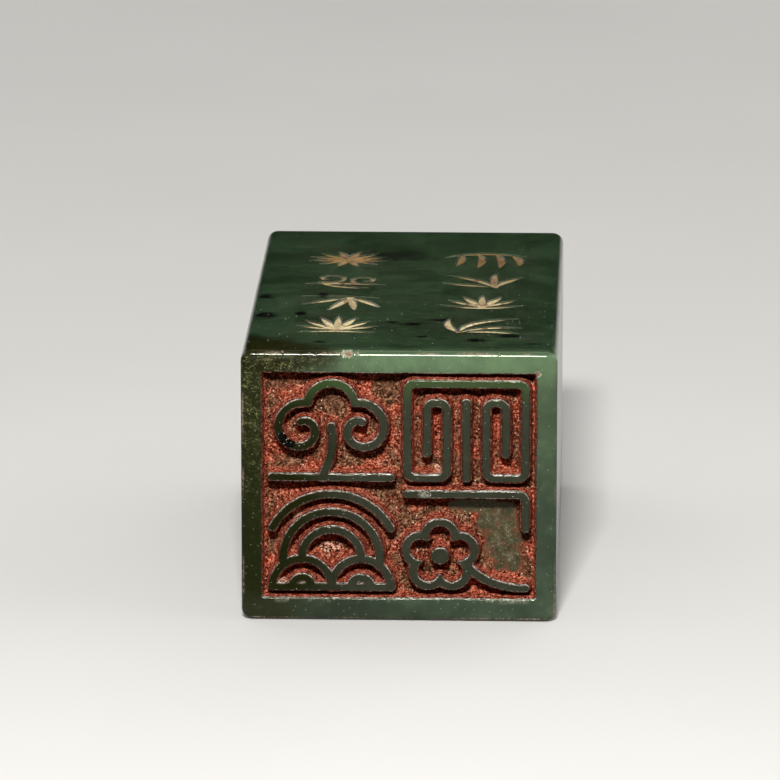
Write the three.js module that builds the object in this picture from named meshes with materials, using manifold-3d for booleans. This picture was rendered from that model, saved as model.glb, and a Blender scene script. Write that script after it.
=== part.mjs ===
// A small carved seal stamp, lying on its side as it is photographed: one block of jade with a
// deep relief on its stamping end, red cinnabar paste left between the raised lines, and two
// rows of four gilt marks cut into the side that faces up.
//
// Millimetres, +Z up. The stamping end looks along -Y, the butt end along +Y. The origin is on
// the table, under the middle of the block.

import * as THREE from "three";
import { mergeVertices } from "three/addons/utils/BufferGeometryUtils.js";
import Module from "manifold-3d";

const wasm = await Module();
wasm.setup();

// The jade block.
const blockWidth = 36;
const blockHeight = 31.7;
const blockLength = 62.3;
const longEdgeRadius = 1.3;
const endEdgeRadius = 0.65;

// The sunk field on the stamping end and the lines that stand up in it.
const sideRim = 2.35;
const topRim = 2.55;
const bottomRim = 2.75;
const reliefDepth = 2.4;
const lineWidth = 1.0;
const lineFlare = 0.2; // each side of a line spreads this much from its top to its foot
const lineChamfer = 0.12; // the worn upper edge
const lineRoot = 0.3; // how far a line's own solid runs into the jade behind the field
const fieldMargin = 0.72; // from the rim to the nearest line
const panelGap = 0.9; // between the lines of neighbouring panels
const bendRadius = 0.9; // of a bent line's middle
const bossChannel = 1.15; // between the blossom's line and the boss in its heart

// The red paste that fills the foot of the relief.
const pasteThickness = 0.4;
const pasteClearance = 0.12;
const smallestScrap = 0.58; // a scrap of paste smaller than a cube of this side would fall out

// The gilt marks in the top side, in two columns of four.
const markRows = 4;
const leftMarkInset = 10.5; // from the block's left side to the middle of the left column
const rightMarkInset = 9.1;
const nearMarkInset = 13.2; // from the stamping end to the middle of the nearest row
const farMarkInset = 15.5; // from the butt end to the middle of the farthest row
const columnGap = 7;
const rowGap = 3.4;
const grooveWidth = 0.66; // of a line of even width
const leafWidth = 1.15; // at a leaf's broadest
const leafTip = 0.3; // a tip's width as a share of that
const knotRadius = 0.5; // where leaves spring from one place
const grooveDepth = 0.35;
const giltThickness = 0.16;
const giltClearance = 0.05;

// How finely a curve is stepped: how far a flat facet may lie inside the true curve, and how
// many facets go round the end of a line and along a leaf.
const facetSag = 0.03;
const endFacets = 5;
const leafFacets = 6;
const meshTolerance = 0.004; // cuts leave slivers thinner than this, which are taken out

const jade = new THREE.MeshStandardMaterial({ color: 0x3f5a40, roughness: 0.28, metalness: 0 });
const paste = new THREE.MeshStandardMaterial({ color: 0x9c3324, roughness: 0.9, metalness: 0 });
const gilt = new THREE.MeshStandardMaterial({ color: 0xb08a45, roughness: 0.45, metalness: 1 });

const fieldWidth = blockWidth - 2 * sideRim;
const fieldHeight = blockHeight - topRim - bottomRim;
const fieldCentreZ = bottomRim + fieldHeight / 2;
const halfLine = lineWidth / 2;

// Each panel is ruled as a grid of squares, which the middles of the lines keep to.
const gridColumns = 12;
const gridRows = 10;
const panelWidth = (fieldWidth - 2 * fieldMargin - panelGap) / 2;
const panelHeight = (fieldHeight - 2 * fieldMargin - panelGap) / 2;
const squareX = (panelWidth - lineWidth) / gridColumns;
const squareZ = (panelHeight - lineWidth) / gridRows;
const edgeX = gridColumns / 2;
const edgeZ = gridRows / 2;

const markColumnX = [leftMarkInset - blockWidth / 2, blockWidth / 2 - rightMarkInset];
const markPitch = (blockLength - nearMarkInset - farMarkInset) / (markRows - 1);
const markWidth = markColumnX[1] - markColumnX[0] - columnGap;
const markHeight = markPitch - rowGap;

// Plane curves. A line is a list of points along its middle, an outline a closed list of
// points that runs counterclockwise.

const point = (x, y) => new THREE.Vector2(x, y);

const polar = (centre, radius, angle) =>
  point(centre.x + radius * Math.cos(angle), centre.y + radius * Math.sin(angle));

// Facets in a turn that keep within the sag, for a curve of the given radius in millimetres.
const facetsFor = (radius, turn) =>
  Math.max(2, Math.ceil(Math.abs(turn) / (2 * Math.acos(1 - facetSag / radius))));

// An arc, or a spiral where the two radii differ. Angles are in degrees, and the scale says
// how many millimetres the arc's unit is.
function arc(centre, radius, fromDeg, toDeg, endRadius = radius, scale = squareX) {
  const from = THREE.MathUtils.degToRad(fromDeg);
  const to = THREE.MathUtils.degToRad(toDeg);
  const facets = facetsFor(Math.max(radius, endRadius) * scale + halfLine, to - from);
  return Array.from({ length: facets + 1 }, (_, i) => {
    const t = i / facets;
    return polar(centre, radius + (endRadius - radius) * t, from + (to - from) * t);
  });
}

function ellipse(centre, radiusX, radiusY, facets) {
  return Array.from({ length: facets }, (_, i) => {
    const a = (2 * Math.PI * i) / facets;
    return point(centre.x + radiusX * Math.cos(a), centre.y + radiusY * Math.sin(a));
  });
}

const circle = (centre, radius) =>
  ellipse(centre, radius, radius, facetsFor(radius, 2 * Math.PI));

// A line through corners, each rounded.
function roundedLine(corners) {
  const radius = bendRadius / squareX;
  const line = [corners[0]];
  for (let i = 1; i < corners.length - 1; i++) {
    const corner = corners[i];
    const inward = corners[i - 1].clone().sub(corner).normalize();
    const outward = corners[i + 1].clone().sub(corner).normalize();
    const half = Math.acos(THREE.MathUtils.clamp(inward.dot(outward), -1, 1)) / 2;
    const middle = inward.clone().add(outward).normalize();
    const centre = corner.clone().addScaledVector(middle, radius / Math.sin(half));
    const start = corner.clone().addScaledVector(inward, radius / Math.tan(half));
    const end = corner.clone().addScaledVector(outward, radius / Math.tan(half));
    const a = start.sub(centre).angle();
    const b = end.sub(centre).angle();
    const turn = THREE.MathUtils.euclideanModulo(b - a + Math.PI, 2 * Math.PI) - Math.PI;
    const facets = facetsFor(bendRadius + halfLine, turn);
    for (let k = 0; k <= facets; k++) line.push(polar(centre, radius, a + (turn * k) / facets));
  }
  line.push(corners[corners.length - 1]);
  return line;
}

const bar = (x0, y0, x1, y1) => [point(x0, y0), point(x1, y1)];

const bow = (from, bend, to) =>
  new THREE.QuadraticBezierCurve(point(...from), point(...bend), point(...to)).getPoints(leafFacets);

const mirrored = (line) => line.map((p) => point(-p.x, p.y));

// The crossing of two circles that lies higher, and the direction of a point from a centre.
function circlesMeet(c1, r1, c2, r2) {
  const across = c2.clone().sub(c1);
  const d = across.length();
  const along = (d * d + r1 * r1 - r2 * r2) / (2 * d);
  const off = Math.sqrt(Math.max(0, r1 * r1 - along * along));
  across.normalize();
  const base = c1.clone().addScaledVector(across, along);
  const sides = [1, -1].map((s) => point(base.x - s * across.y * off, base.y + s * across.x * off));
  return sides[0].y > sides[1].y ? sides[0] : sides[1];
}

const angleAbout = (centre, p) =>
  THREE.MathUtils.radToDeg(THREE.MathUtils.euclideanModulo(p.clone().sub(centre).angle(), 2 * Math.PI));

function tangentAt(line, i) {
  const before = line[Math.max(i - 1, 0)];
  const after = line[Math.min(i + 1, line.length - 1)];
  return after.clone().sub(before).normalize();
}

// The outline of a line that has the given half width at each of its points. Its ends are
// round, or blunt where they get a single facet.
function outlineOf(line, halfWidths, capFacets) {
  const side = (sign) =>
    line.map((p, i) => {
      const t = tangentAt(line, i);
      return point(p.x - sign * t.y * halfWidths[i], p.y + sign * t.x * halfWidths[i]);
    });
  const cap = (i, forward) => {
    const first = tangentAt(line, i).multiplyScalar(forward).angle() - Math.PI / 2;
    return Array.from({ length: capFacets - 1 }, (_, k) =>
      polar(line[i], halfWidths[i], first + (Math.PI * (k + 1)) / capFacets),
    );
  };
  return [...side(-1), ...cap(line.length - 1, 1), ...side(1).reverse(), ...cap(0, -1)];
}

const evenOutline = (line, halfWidth) => outlineOf(line, line.map(() => halfWidth), endFacets);

// Solids. Everything is drawn in a plane and raised along the plane's normal.

// Outlines with the same number of points, one at each height, joined by flat bands.
function loft(outlines, heights) {
  const count = outlines[0].length;
  const positions = outlines.flatMap((ring, k) => ring.flatMap((p) => [p.x, p.y, heights[k]]));
  const last = (outlines.length - 1) * count;
  const index = [];
  for (let k = 0; k < last; k += count)
    for (let i = 0; i < count; i++) {
      const next = (i + 1) % count;
      index.push(k + i, k + next, k + count + next, k + i, k + count + next, k + count + i);
    }
  for (const [a, b, c] of THREE.ShapeUtils.triangulateShape(outlines[0], [])) index.push(a, c, b);
  for (const [a, b, c] of THREE.ShapeUtils.triangulateShape(outlines.at(-1), []))
    index.push(last + a, last + b, last + c);
  const geometry = new THREE.BufferGeometry();
  geometry.setAttribute("position", new THREE.Float32BufferAttribute(positions, 3));
  return geometry.setIndex(index);
}

function solidOf(geometry) {
  const bare = geometry.clone();
  bare.deleteAttribute("normal");
  bare.deleteAttribute("uv");
  const merged = mergeVertices(bare, 1e-5);
  return new wasm.Manifold(
    new wasm.Mesh({
      numProp: 3,
      vertProperties: merged.getAttribute("position").array,
      triVerts: new Uint32Array(merged.index.array),
    }),
  );
}

function geometryOf(solid) {
  const mesh = solid.simplify(meshTolerance).getMesh();
  const geometry = new THREE.BufferGeometry();
  geometry.setAttribute("position", new THREE.BufferAttribute(mesh.vertProperties, 3));
  geometry.setIndex(new THREE.BufferAttribute(mesh.triVerts, 1));
  return geometry;
}

const joined = (solids) => solids.reduce((all, solid) => all.add(solid));

// A prism with the same outline from one height to another.
const prism = (ring, low, high) => solidOf(loft([ring, ring], [low, high]));

function rectangle(width, height) {
  const x = width / 2;
  const y = height / 2;
  return [point(-x, -y), point(x, -y), point(x, y), point(-x, y)];
}

// The relief. Each panel's lines are drawn in grid squares about the panel's own centre.

// A lingzhi fungus: a crown between two caps that roll in as volutes, on a bent stem.
function fungusPanel() {
  const crown = { centre: point(0, 2.6), radius: edgeZ - 2.6 };
  const cap = { centre: point(-edgeX / 2, 0.1), radius: 2.9, turns: 380, endRadius: 0.8 };
  const meet = circlesMeet(cap.centre, cap.radius, crown.centre, crown.radius);
  const capStart = angleAbout(cap.centre, meet);
  const crownStart = angleAbout(crown.centre, meet);
  const roll = arc(cap.centre, cap.radius, capStart, capStart + cap.turns, cap.endRadius);
  return [
    roll,
    mirrored(roll),
    arc(crown.centre, crown.radius, crownStart, 180 - crownStart),
    bow([-1, -edgeZ], [0.5, -2.4], [0, 0.4]),
    bar(-edgeX, -edgeZ, edgeX, -edgeZ),
  ];
}

// A thunder fret: an arch whose two legs turn back inside as square hooks, round a single bar.
function fretPanel() {
  const leg = [
    point(-4, -2.4),
    point(-4, edgeZ - 2),
    point(-2, edgeZ - 2),
    point(-2, -edgeZ),
    point(-edgeX, -edgeZ),
    point(-edgeX, edgeZ),
  ];
  const arch = roundedLine([...leg, ...mirrored(leg).reverse()]);
  return [arch, bar(0, -edgeZ, 0, edgeZ - 2)];
}

// Water: two small arches side by side on a bar, under three wide ones.
const smallArches = { centre: point(-edgeX / 2, -edgeZ), radii: [3, 1] };
const wideArches = { centre: point(0, -1.87), radii: [3, 4.9, 6.8] };

function wavePanel() {
  const lines = [bar(-edgeX, -edgeZ, edgeX, -edgeZ)];
  for (const radius of smallArches.radii) {
    const arch = arc(smallArches.centre, radius, 0, 180);
    lines.push(arch, mirrored(arch));
  }
  for (const radius of wideArches.radii) {
    const meet = circlesMeet(wideArches.centre, radius, smallArches.centre, smallArches.radii[0]);
    const edge = 180 - THREE.MathUtils.radToDeg(Math.acos(Math.min(1, edgeX / radius)));
    const foot = radius < edgeX ? angleAbout(wideArches.centre, meet) : edge;
    lines.push(arc(wideArches.centre, radius, foot, 180 - foot));
  }
  return lines;
}

const midway = (a, b) => (a + b) / 2;

// A bough over a plum blossom, and a twig that runs out beside it.
const blossom = { centre: point(-2.65, -1.6), petals: 5, reach: 2.05, petalRadius: 1.55, heart: 2.4 };

function boughPanel() {
  const bough = [point(-edgeX, edgeZ), point(edgeX, edgeZ), point(edgeX, 1.4)];
  return [roundedLine(bough), bow([0.05, -2.5], [2, -edgeZ], [edgeX, -edgeZ])];
}

const panels = [
  { lines: fungusPanel(), x: -1, z: 1 },
  { lines: fretPanel(), x: 1, z: 1 },
  { lines: wavePanel(), x: -1, z: -1 },
  { lines: boughPanel(), x: 1, z: -1 },
];
const wavesPanel = panels[2];
const blossomPanel = panels[3];

// From a panel's squares to millimetres about the middle of the field.
const place = ({ x, z }, p) =>
  point(
    (x * (panelWidth + panelGap)) / 2 + p.x * squareX,
    (z * (panelHeight + panelGap)) / 2 + p.y * squareZ,
  );

const reliefLines = panels.flatMap((panel) =>
  panel.lines.map((line) => line.map((p) => place(panel, p))),
);

// One raised shape, from its outline grown by millimetres: a straight root in the jade, a
// sloped wall, the worn edge and the flat printing face.
const raised = (grownOutline) =>
  solidOf(
    loft(
      [lineFlare, lineFlare, 0, -lineChamfer].map(grownOutline),
      [-lineRoot, 0, reliefDepth - lineChamfer, reliefDepth],
    ),
  );

// The hollow inside a closed line, whose walls lean the other way, down to the field's floor.
const sunk = (grownOutline) =>
  solidOf(
    loft(
      [-lineFlare, 0, lineChamfer, lineChamfer].map(grownOutline),
      [0, reliefDepth - lineChamfer, reliefDepth, 2 * reliefDepth],
    ),
  );

// A round in the blossom's panel: its radius in squares, grown by millimetres.
function blossomRound({ centre, radius }, grown) {
  return ellipse(
    place(blossomPanel, centre),
    radius * squareX + grown,
    radius * squareZ + grown,
    facetsFor(radius * squareX + halfLine, 2 * Math.PI),
  );
}

// The rounds that the petals' line runs round: the petals and the heart between them.
const petalRounds = Array.from({ length: blossom.petals }, (_, k) => {
  const angle = Math.PI / 2 + (2 * Math.PI * k) / blossom.petals;
  return { centre: polar(blossom.centre, blossom.reach, angle), radius: blossom.petalRadius };
});
const heart = { centre: blossom.centre, radius: blossom.heart };
petalRounds.push(heart);

const bossRound = (grown) => blossomRound(heart, grown - halfLine - bossChannel);

const joinedRounds = (shape) => joined(petalRounds.map(shape));

function reliefSolid() {
  const outside = joinedRounds((round) => raised((grown) => blossomRound(round, halfLine + grown)));
  const inside = joinedRounds((round) => sunk((grown) => blossomRound(round, grown - halfLine)));
  return joined([
    ...reliefLines.map((line) => raised((grown) => evenOutline(line, halfLine + grown))),
    outside.subtract(inside),
    raised(bossRound),
  ]);
}

// Everything that the paste has to leave free, with the clearance round it.
function pasteKeepOut() {
  const low = -pasteThickness;
  const high = 2 * pasteThickness;
  const foot = lineFlare + pasteClearance;
  const reach = halfLine + foot;
  const outside = joinedRounds((round) => prism(blossomRound(round, reach), low, high));
  const inside = joinedRounds((round) => prism(blossomRound(round, -reach), 2 * low, 2 * high));
  return joined([
    ...reliefLines.map((line) => prism(evenOutline(line, reach), low, high)),
    outside.subtract(inside),
    prism(bossRound(foot), low, high),
  ]);
}

// Bald places beside the blossom, where the paste has come away and the jade floor shows.
const baldPatches = [
  { x: 3.15, z: 1.0, across: 2.5, up: 4.6 },
  { x: 4.6, z: -2.9, across: 1.4, up: 0.8 },
];

function baldPatch({ x, z, across, up }) {
  const ripple = (a) => 1 + 0.12 * Math.sin(3 * a + x) + 0.07 * Math.cos(5 * a + z);
  const facets = 18;
  const ring = Array.from({ length: facets }, (_, i) => {
    const a = (2 * Math.PI * i) / facets;
    const reach = ripple(a) / 2;
    return place(blossomPanel, point(x + across * reach * Math.cos(a), z + up * reach * Math.sin(a)));
  });
  return prism(ring, -pasteThickness, 2 * pasteThickness);
}

// A place inside each pocket of paste that closed lines shut in, from left to right.
const smallCrown = smallArches.centre.y + midway(...smallArches.radii);
const wideCrown = wideArches.centre.y + midway(wideArches.radii[0], wideArches.radii[1]);
const pocketPlaces = [
  place(wavesPanel, point(smallArches.centre.x, smallCrown)),
  place(wavesPanel, point(0, wideCrown)),
  place(wavesPanel, wideArches.centre),
  place(wavesPanel, point(-smallArches.centre.x, smallCrown)),
  place(blossomPanel, petalRounds[0].centre),
];

function holds(body, { x, y }) {
  const probe = prism(rectangle(pasteClearance, pasteClearance), 0, pasteThickness);
  return !body.intersect(probe.translate([x, y, 0])).isEmpty();
}

// The bed between the lines, then the pockets in the order of their places. Any other scrap
// that lines at their set width pinch off comes last.
function pasteSolids() {
  const sheet = prism(
    rectangle(fieldWidth - 2 * pasteClearance, fieldHeight - 2 * pasteClearance),
    0,
    pasteThickness,
  );
  const [bed, ...rest] = sheet
    .subtract(pasteKeepOut())
    .subtract(joined(baldPatches.map(baldPatch)))
    .decompose()
    .filter((body) => body.volume() > smallestScrap ** 3)
    .sort((a, b) => b.volume() - a.volume());
  const rank = (body) => {
    const found = pocketPlaces.findIndex((spot) => holds(body, spot));
    return found < 0 ? pocketPlaces.length : found;
  };
  return [bed, ...rest.sort((a, b) => rank(a) - rank(b))];
}

// The gilt marks: small plants and clouds. Each is one connected figure about its own centre.
// Places are in halves of the mark's width and height, and a stroke gives its outline for an
// inset from the groove's wall.

const markPoint = ([x, y]) => point((x * markWidth) / 2, (y * markHeight) / 2);

// A rolled line. Its radii are shares of the mark's height.
const scroll = (centre, radius, fromDeg, toDeg, endRadius) => (inset) =>
  evenOutline(
    arc(markPoint(centre), radius * markHeight, fromDeg, toDeg, endRadius * markHeight, 1),
    grooveWidth / 2 - inset,
  );

const knot = (centre, radius = knotRadius) => (inset) => circle(markPoint(centre), radius - inset);

// A leaf or a brushed line: it swells in the middle and comes to a narrow tip.
const leaf = (from, bend, to, width = leafWidth) => (inset) => {
  const curve = new THREE.QuadraticBezierCurve(markPoint(from), markPoint(bend), markPoint(to));
  const swell = (i) => leafTip + (1 - leafTip) * Math.sin((Math.PI * i) / leafFacets);
  const line = curve.getPoints(leafFacets);
  return outlineOf(line, line.map((_, i) => (width / 2) * swell(i) - inset), 1);
};

// Leaves that spring from one knot.
const tuft = (foot, ...leaves) => [knot(foot), ...leaves.map(([bend, tip]) => leaf(foot, bend, tip))];

// A tuft of even leaves, spread over an angle.
function fan(foot, count, spreadDeg, reach) {
  const leaves = Array.from({ length: count }, (_, k) => {
    const a = THREE.MathUtils.degToRad(90 + spreadDeg * (k / (count - 1) - 0.5));
    const along = (share) => [
      foot[0] + share * reach[0] * Math.cos(a),
      foot[1] + share * reach[1] * Math.sin(a),
    ];
    return [along(0.5), along(1)];
  });
  return tuft(foot, ...leaves);
}

const turnedOver = (stroke) => (inset) => stroke(inset).map((p) => point(-p.x, -p.y));

const flowerHalf = fan([0, 0], 6, 150, [1, 1]);

const marks = [
  {
    name: "gilt_palmette",
    column: 0,
    row: 0,
    strokes: [...fan([0, -0.6], 7, 150, [1, 1.6]), leaf([-0.9, -1], [0, -0.55], [0.9, -1])],
  },
  {
    name: "gilt_bamboo",
    column: 0,
    row: 1,
    strokes: [
      leaf([-1, 0.75], [0, 0.85], [0.9, 0.55], grooveWidth),
      ...tuft([0.2, 0.65], [[-0.3, 0.3], [-0.95, -0.3]], [[0, -0.1], [-0.3, -1]]),
      ...tuft([0.2, 0.65], [[0.3, -0.1], [0.35, -0.95]], [[0.6, 0.2], [0.95, -0.6]]),
    ],
  },
  {
    name: "gilt_clouds",
    column: 0,
    row: 2,
    strokes: [
      scroll([-0.38, 0.25], 0.27, -120, 230, 0.1),
      scroll([0.5, 0.05], 0.22, 240, -80, 0.09),
      leaf([-0.95, -0.5], [-0.1, -0.2], [1, -0.6]),
      leaf([-0.6, -0.35], [-0.2, -0.9], [0.6, -1]),
    ],
  },
  {
    name: "gilt_chrysanthemum",
    column: 0,
    row: 3,
    strokes: [...flowerHalf, ...flowerHalf.map(turnedOver), knot([0, 0], 2 * knotRadius)],
  },
  {
    name: "gilt_orchid",
    column: 1,
    row: 0,
    strokes: [
      ...tuft([-0.5, -0.8], [[-0.4, 0.6], [0.9, 0.85]], [[0.1, 0], [1, -0.3]]),
      ...tuft([-0.5, -0.8], [[-0.9, -0.1], [-0.75, 0.8]], [[0.3, -0.6], [0.95, -1]]),
    ],
  },
  {
    name: "gilt_lotus",
    column: 1,
    row: 1,
    strokes: [...fan([0, -0.45], 5, 110, [1, 1.4]), leaf([-1, -0.3], [0, -0.85], [1, -0.3])],
  },
  {
    name: "gilt_reeds",
    column: 1,
    row: 2,
    strokes: [
      ...tuft([0.3, -0.75], [[0.5, 0.1], [0.95, 0.5]], [[0.2, 0.3], [0.3, 0.95]]),
      ...tuft([0.3, -0.75], [[-0.1, 0.3], [-0.9, 0.75]], [[-0.3, -0.5], [-1, -0.3]]),
    ],
  },
  {
    name: "gilt_willow",
    column: 1,
    row: 3,
    strokes: [
      leaf([-1, 0.3], [-0.1, 1.3], [1, 0.45]),
      leaf([-0.62, 0.6], [-0.55, 0], [-0.75, -0.75]),
      leaf([-0.2, 0.78], [0, 0], [-0.2, -1]),
      leaf([0.25, 0.78], [0.5, 0], [0.35, -1]),
      leaf([0.65, 0.65], [0.95, 0.1], [0.85, -0.7]),
    ],
  },
];

// A mark's strokes as one solid, narrowed by an inset and running between two heights.
function markSolid({ column, row, strokes }, inset, low, high) {
  const figure = joined(strokes.map((stroke) => prism(stroke(inset), low, high)));
  const y = nearMarkInset + markPitch * row - blockLength / 2;
  return figure.translate([markColumnX[column], y, 0]);
}

// From the stamping end's plane to the part's own frame. The plane looks along -Y and has its
// origin on the field's floor.
const stampingEnd = (solid) =>
  solid.rotate([90, 0, 0]).translate([0, reliefDepth - blockLength / 2, fieldCentreZ]);

function jadeBlock() {
  const x = blockWidth / 2 - longEdgeRadius;
  const z = blockHeight / 2 - longEdgeRadius;
  const section = new THREE.Shape();
  section.absarc(x, z, longEdgeRadius, 0, Math.PI / 2);
  section.absarc(-x, z, longEdgeRadius, Math.PI / 2, Math.PI);
  section.absarc(-x, -z, longEdgeRadius, Math.PI, 1.5 * Math.PI);
  section.absarc(x, -z, longEdgeRadius, 1.5 * Math.PI, 2 * Math.PI);
  const block = new THREE.ExtrudeGeometry(section, {
    depth: blockLength - 2 * endEdgeRadius,
    bevelThickness: endEdgeRadius,
    bevelSize: endEdgeRadius,
    bevelOffset: -endEdgeRadius,
    bevelSegments: 3,
    curveSegments: 5,
  });
  block.translate(0, 0, endEdgeRadius - blockLength / 2);
  block.rotateX(Math.PI / 2);
  block.translate(0, 0, blockHeight / 2);
  const field = prism(rectangle(fieldWidth, fieldHeight), 0, 2 * reliefDepth);
  const carved = solidOf(block)
    .subtract(stampingEnd(field))
    .add(stampingEnd(reliefSolid()));
  const grooves = marks.map((mark) =>
    markSolid(mark, 0, blockHeight - grooveDepth, blockHeight + grooveDepth),
  );
  return carved.subtract(joined(grooves));
}

const seal = new THREE.Group();
seal.name = "seal_stamp";

function addPart(name, solid, material) {
  const mesh = new THREE.Mesh(geometryOf(solid), material);
  mesh.name = name;
  seal.add(mesh);
}

addPart("jade_block", jadeBlock(), jade);

pasteSolids().forEach((body, i) =>
  addPart(i ? `paste_pocket_${i}` : "paste_bed", stampingEnd(body), paste),
);

for (const mark of marks) {
  const floor = blockHeight - grooveDepth;
  addPart(mark.name, markSolid(mark, giltClearance, floor, floor + giltThickness), gilt);
}

export default seal;
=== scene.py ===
# A carved jade seal stamp that lies on its side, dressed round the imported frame: the block
# with its relief and cut marks, the red paste between the raised lines and the gilt fills.

import math
from functools import reduce

import bpy
import numpy as np
from mathutils import Matrix, Vector


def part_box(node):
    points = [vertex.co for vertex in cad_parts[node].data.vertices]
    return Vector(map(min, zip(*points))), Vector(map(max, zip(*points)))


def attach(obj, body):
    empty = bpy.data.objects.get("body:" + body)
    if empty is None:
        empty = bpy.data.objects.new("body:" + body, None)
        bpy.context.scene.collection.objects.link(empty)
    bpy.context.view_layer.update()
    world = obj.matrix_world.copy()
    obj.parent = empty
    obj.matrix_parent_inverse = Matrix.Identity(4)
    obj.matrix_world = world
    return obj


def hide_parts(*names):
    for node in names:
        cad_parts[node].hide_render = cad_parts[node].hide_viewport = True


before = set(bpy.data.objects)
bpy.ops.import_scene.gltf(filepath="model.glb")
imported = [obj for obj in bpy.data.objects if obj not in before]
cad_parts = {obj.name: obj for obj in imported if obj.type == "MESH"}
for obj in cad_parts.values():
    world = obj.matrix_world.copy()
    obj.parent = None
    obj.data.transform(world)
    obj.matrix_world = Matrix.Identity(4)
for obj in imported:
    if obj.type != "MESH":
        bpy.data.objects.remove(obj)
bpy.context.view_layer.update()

MM = 0.001

# Sizes in millimetres. The block's own come from the frame, the others repeat the part's.

block_low, block_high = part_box("jade_block")
WIDTH = (block_high.x - block_low.x) / MM
LENGTH = (block_high.y - block_low.y) / MM
HEIGHT = (block_high.z - block_low.z) / MM
FRONT = -LENGTH / 2

LONG_EDGE = 1.3
END_EDGE = 0.65

SIDE_RIM = 2.35
TOP_RIM = 2.55
BOTTOM_RIM = 2.75
DEPTH = 2.4
LINE_WIDTH = 1.0
HALF_LINE = LINE_WIDTH / 2
FLARE = 0.2  # a wall leans out this much from its top to its foot
SHOULDER = 0.22  # radius of a line's worn upper edge
FIELD_MARGIN = 0.72
PANEL_GAP = 0.9
BEND_RADIUS = 0.9
BOSS_CHANNEL = 1.15

LEFT_MARK_INSET = 10.5
RIGHT_MARK_INSET = 9.1
NEAR_MARK_INSET = 13.2
FAR_MARK_INSET = 15.5
MARK_ROWS = 4
COLUMN_GAP = 7
ROW_GAP = 3.4
GROOVE_WIDTH = 0.66
LEAF_WIDTH = 1.15
LEAF_TIP = 0.3
KNOT_RADIUS = 0.5
GROOVE_DEPTH = 0.35

FIELD_WIDTH = WIDTH - 2 * SIDE_RIM
FIELD_HEIGHT = HEIGHT - TOP_RIM - BOTTOM_RIM
FIELD_Z = BOTTOM_RIM + FIELD_HEIGHT / 2

GRID_COLUMNS = 12
GRID_ROWS = 10
EDGE_X = GRID_COLUMNS / 2
EDGE_Z = GRID_ROWS / 2
PANEL_WIDTH = (FIELD_WIDTH - 2 * FIELD_MARGIN - PANEL_GAP) / 2
PANEL_HEIGHT = (FIELD_HEIGHT - 2 * FIELD_MARGIN - PANEL_GAP) / 2
SQUARE_X = (PANEL_WIDTH - LINE_WIDTH) / GRID_COLUMNS
SQUARE_Z = (PANEL_HEIGHT - LINE_WIDTH) / GRID_ROWS

MARK_X = (LEFT_MARK_INSET - WIDTH / 2, WIDTH / 2 - RIGHT_MARK_INSET)
MARK_PITCH = (LENGTH - NEAR_MARK_INSET - FAR_MARK_INSET) / (MARK_ROWS - 1)
MARK_WIDTH = MARK_X[1] - MARK_X[0] - COLUMN_GAP
MARK_HEIGHT = MARK_PITCH - ROW_GAP

# How finely the surfaces are stepped.
FIELD_CELL = 0.07
MARK_CELL = 0.08
SIDE_CELL = 1.6
TURN_FACETS = 72
MOST_TRIANGLES = 190_000  # that a piece keeps once its flat places are thinned out
FAR = 3.0  # distances beyond this don't matter
FINE_RIM = 0.25  # the field's fine grid reaches this far onto the rim
SNAP_RIM = 0.3  # and points this far onto it are drawn to the outlines


# Noise


def noise(x, y, size, seed):
    """Smooth noise from -1 to 1 with features of about that size."""
    table = np.random.RandomState(seed).uniform(-1, 1, (128, 128))
    u, v = x / size + 4096.5, y / size + 4096.5
    i, j = np.floor(u).astype(int), np.floor(v).astype(int)
    u, v = u - i, v - j
    u, v = u * u * (3 - 2 * u), v * v * (3 - 2 * v)
    i0, i1, j0, j1 = i & 127, (i + 1) & 127, j & 127, (j + 1) & 127
    low = table[i0, j0] * (1 - u) + table[i1, j0] * u
    high = table[i0, j1] * (1 - u) + table[i1, j1] * u
    return low * (1 - v) + high * v


def layered(x, y, size, seed, layers=3):
    """Noise with finer and fainter noise on top."""
    total = sum(noise(x, y, size / 2**k, seed + k) / 2**k for k in range(layers))
    return total / (2 - 2.0 ** (1 - layers))


def smooth_min(a, b, k):
    h = np.maximum(k - np.abs(a - b), 0) / k
    return np.minimum(a, b) - h * h * k / 4


def smooth_max(a, b, k):
    return -smooth_min(-a, -b, k)


def step(low, high, value):
    """0 below low, 1 above high and smooth between."""
    t = np.clip((value - low) / (high - low), 0, 1)
    return t * t * (3 - 2 * t)


# Plane curves: arrays of points


def arc(centre, radius, from_deg, to_deg, end_radius=None):
    """An arc, or a spiral where the two radii differ."""
    count = max(2, math.ceil(abs(to_deg - from_deg) / 360 * TURN_FACETS))
    t = np.linspace(0, 1, count + 1)
    a = np.radians(from_deg + (to_deg - from_deg) * t)
    r = radius + ((radius if end_radius is None else end_radius) - radius) * t
    return np.stack([centre[0] + r * np.cos(a), centre[1] + r * np.sin(a)], 1)


def bow(start, bend, end, count=16):
    t = np.linspace(0, 1, count + 1)[:, None]
    a, b, c = (np.array(p, float) for p in (start, bend, end))
    return a * (1 - t) ** 2 + 2 * b * t * (1 - t) + c * t**2


def bar(x0, y0, x1, y1):
    return np.array([(x0, y0), (x1, y1)], float)


def mirrored(line):
    return line * [-1, 1]


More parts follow.
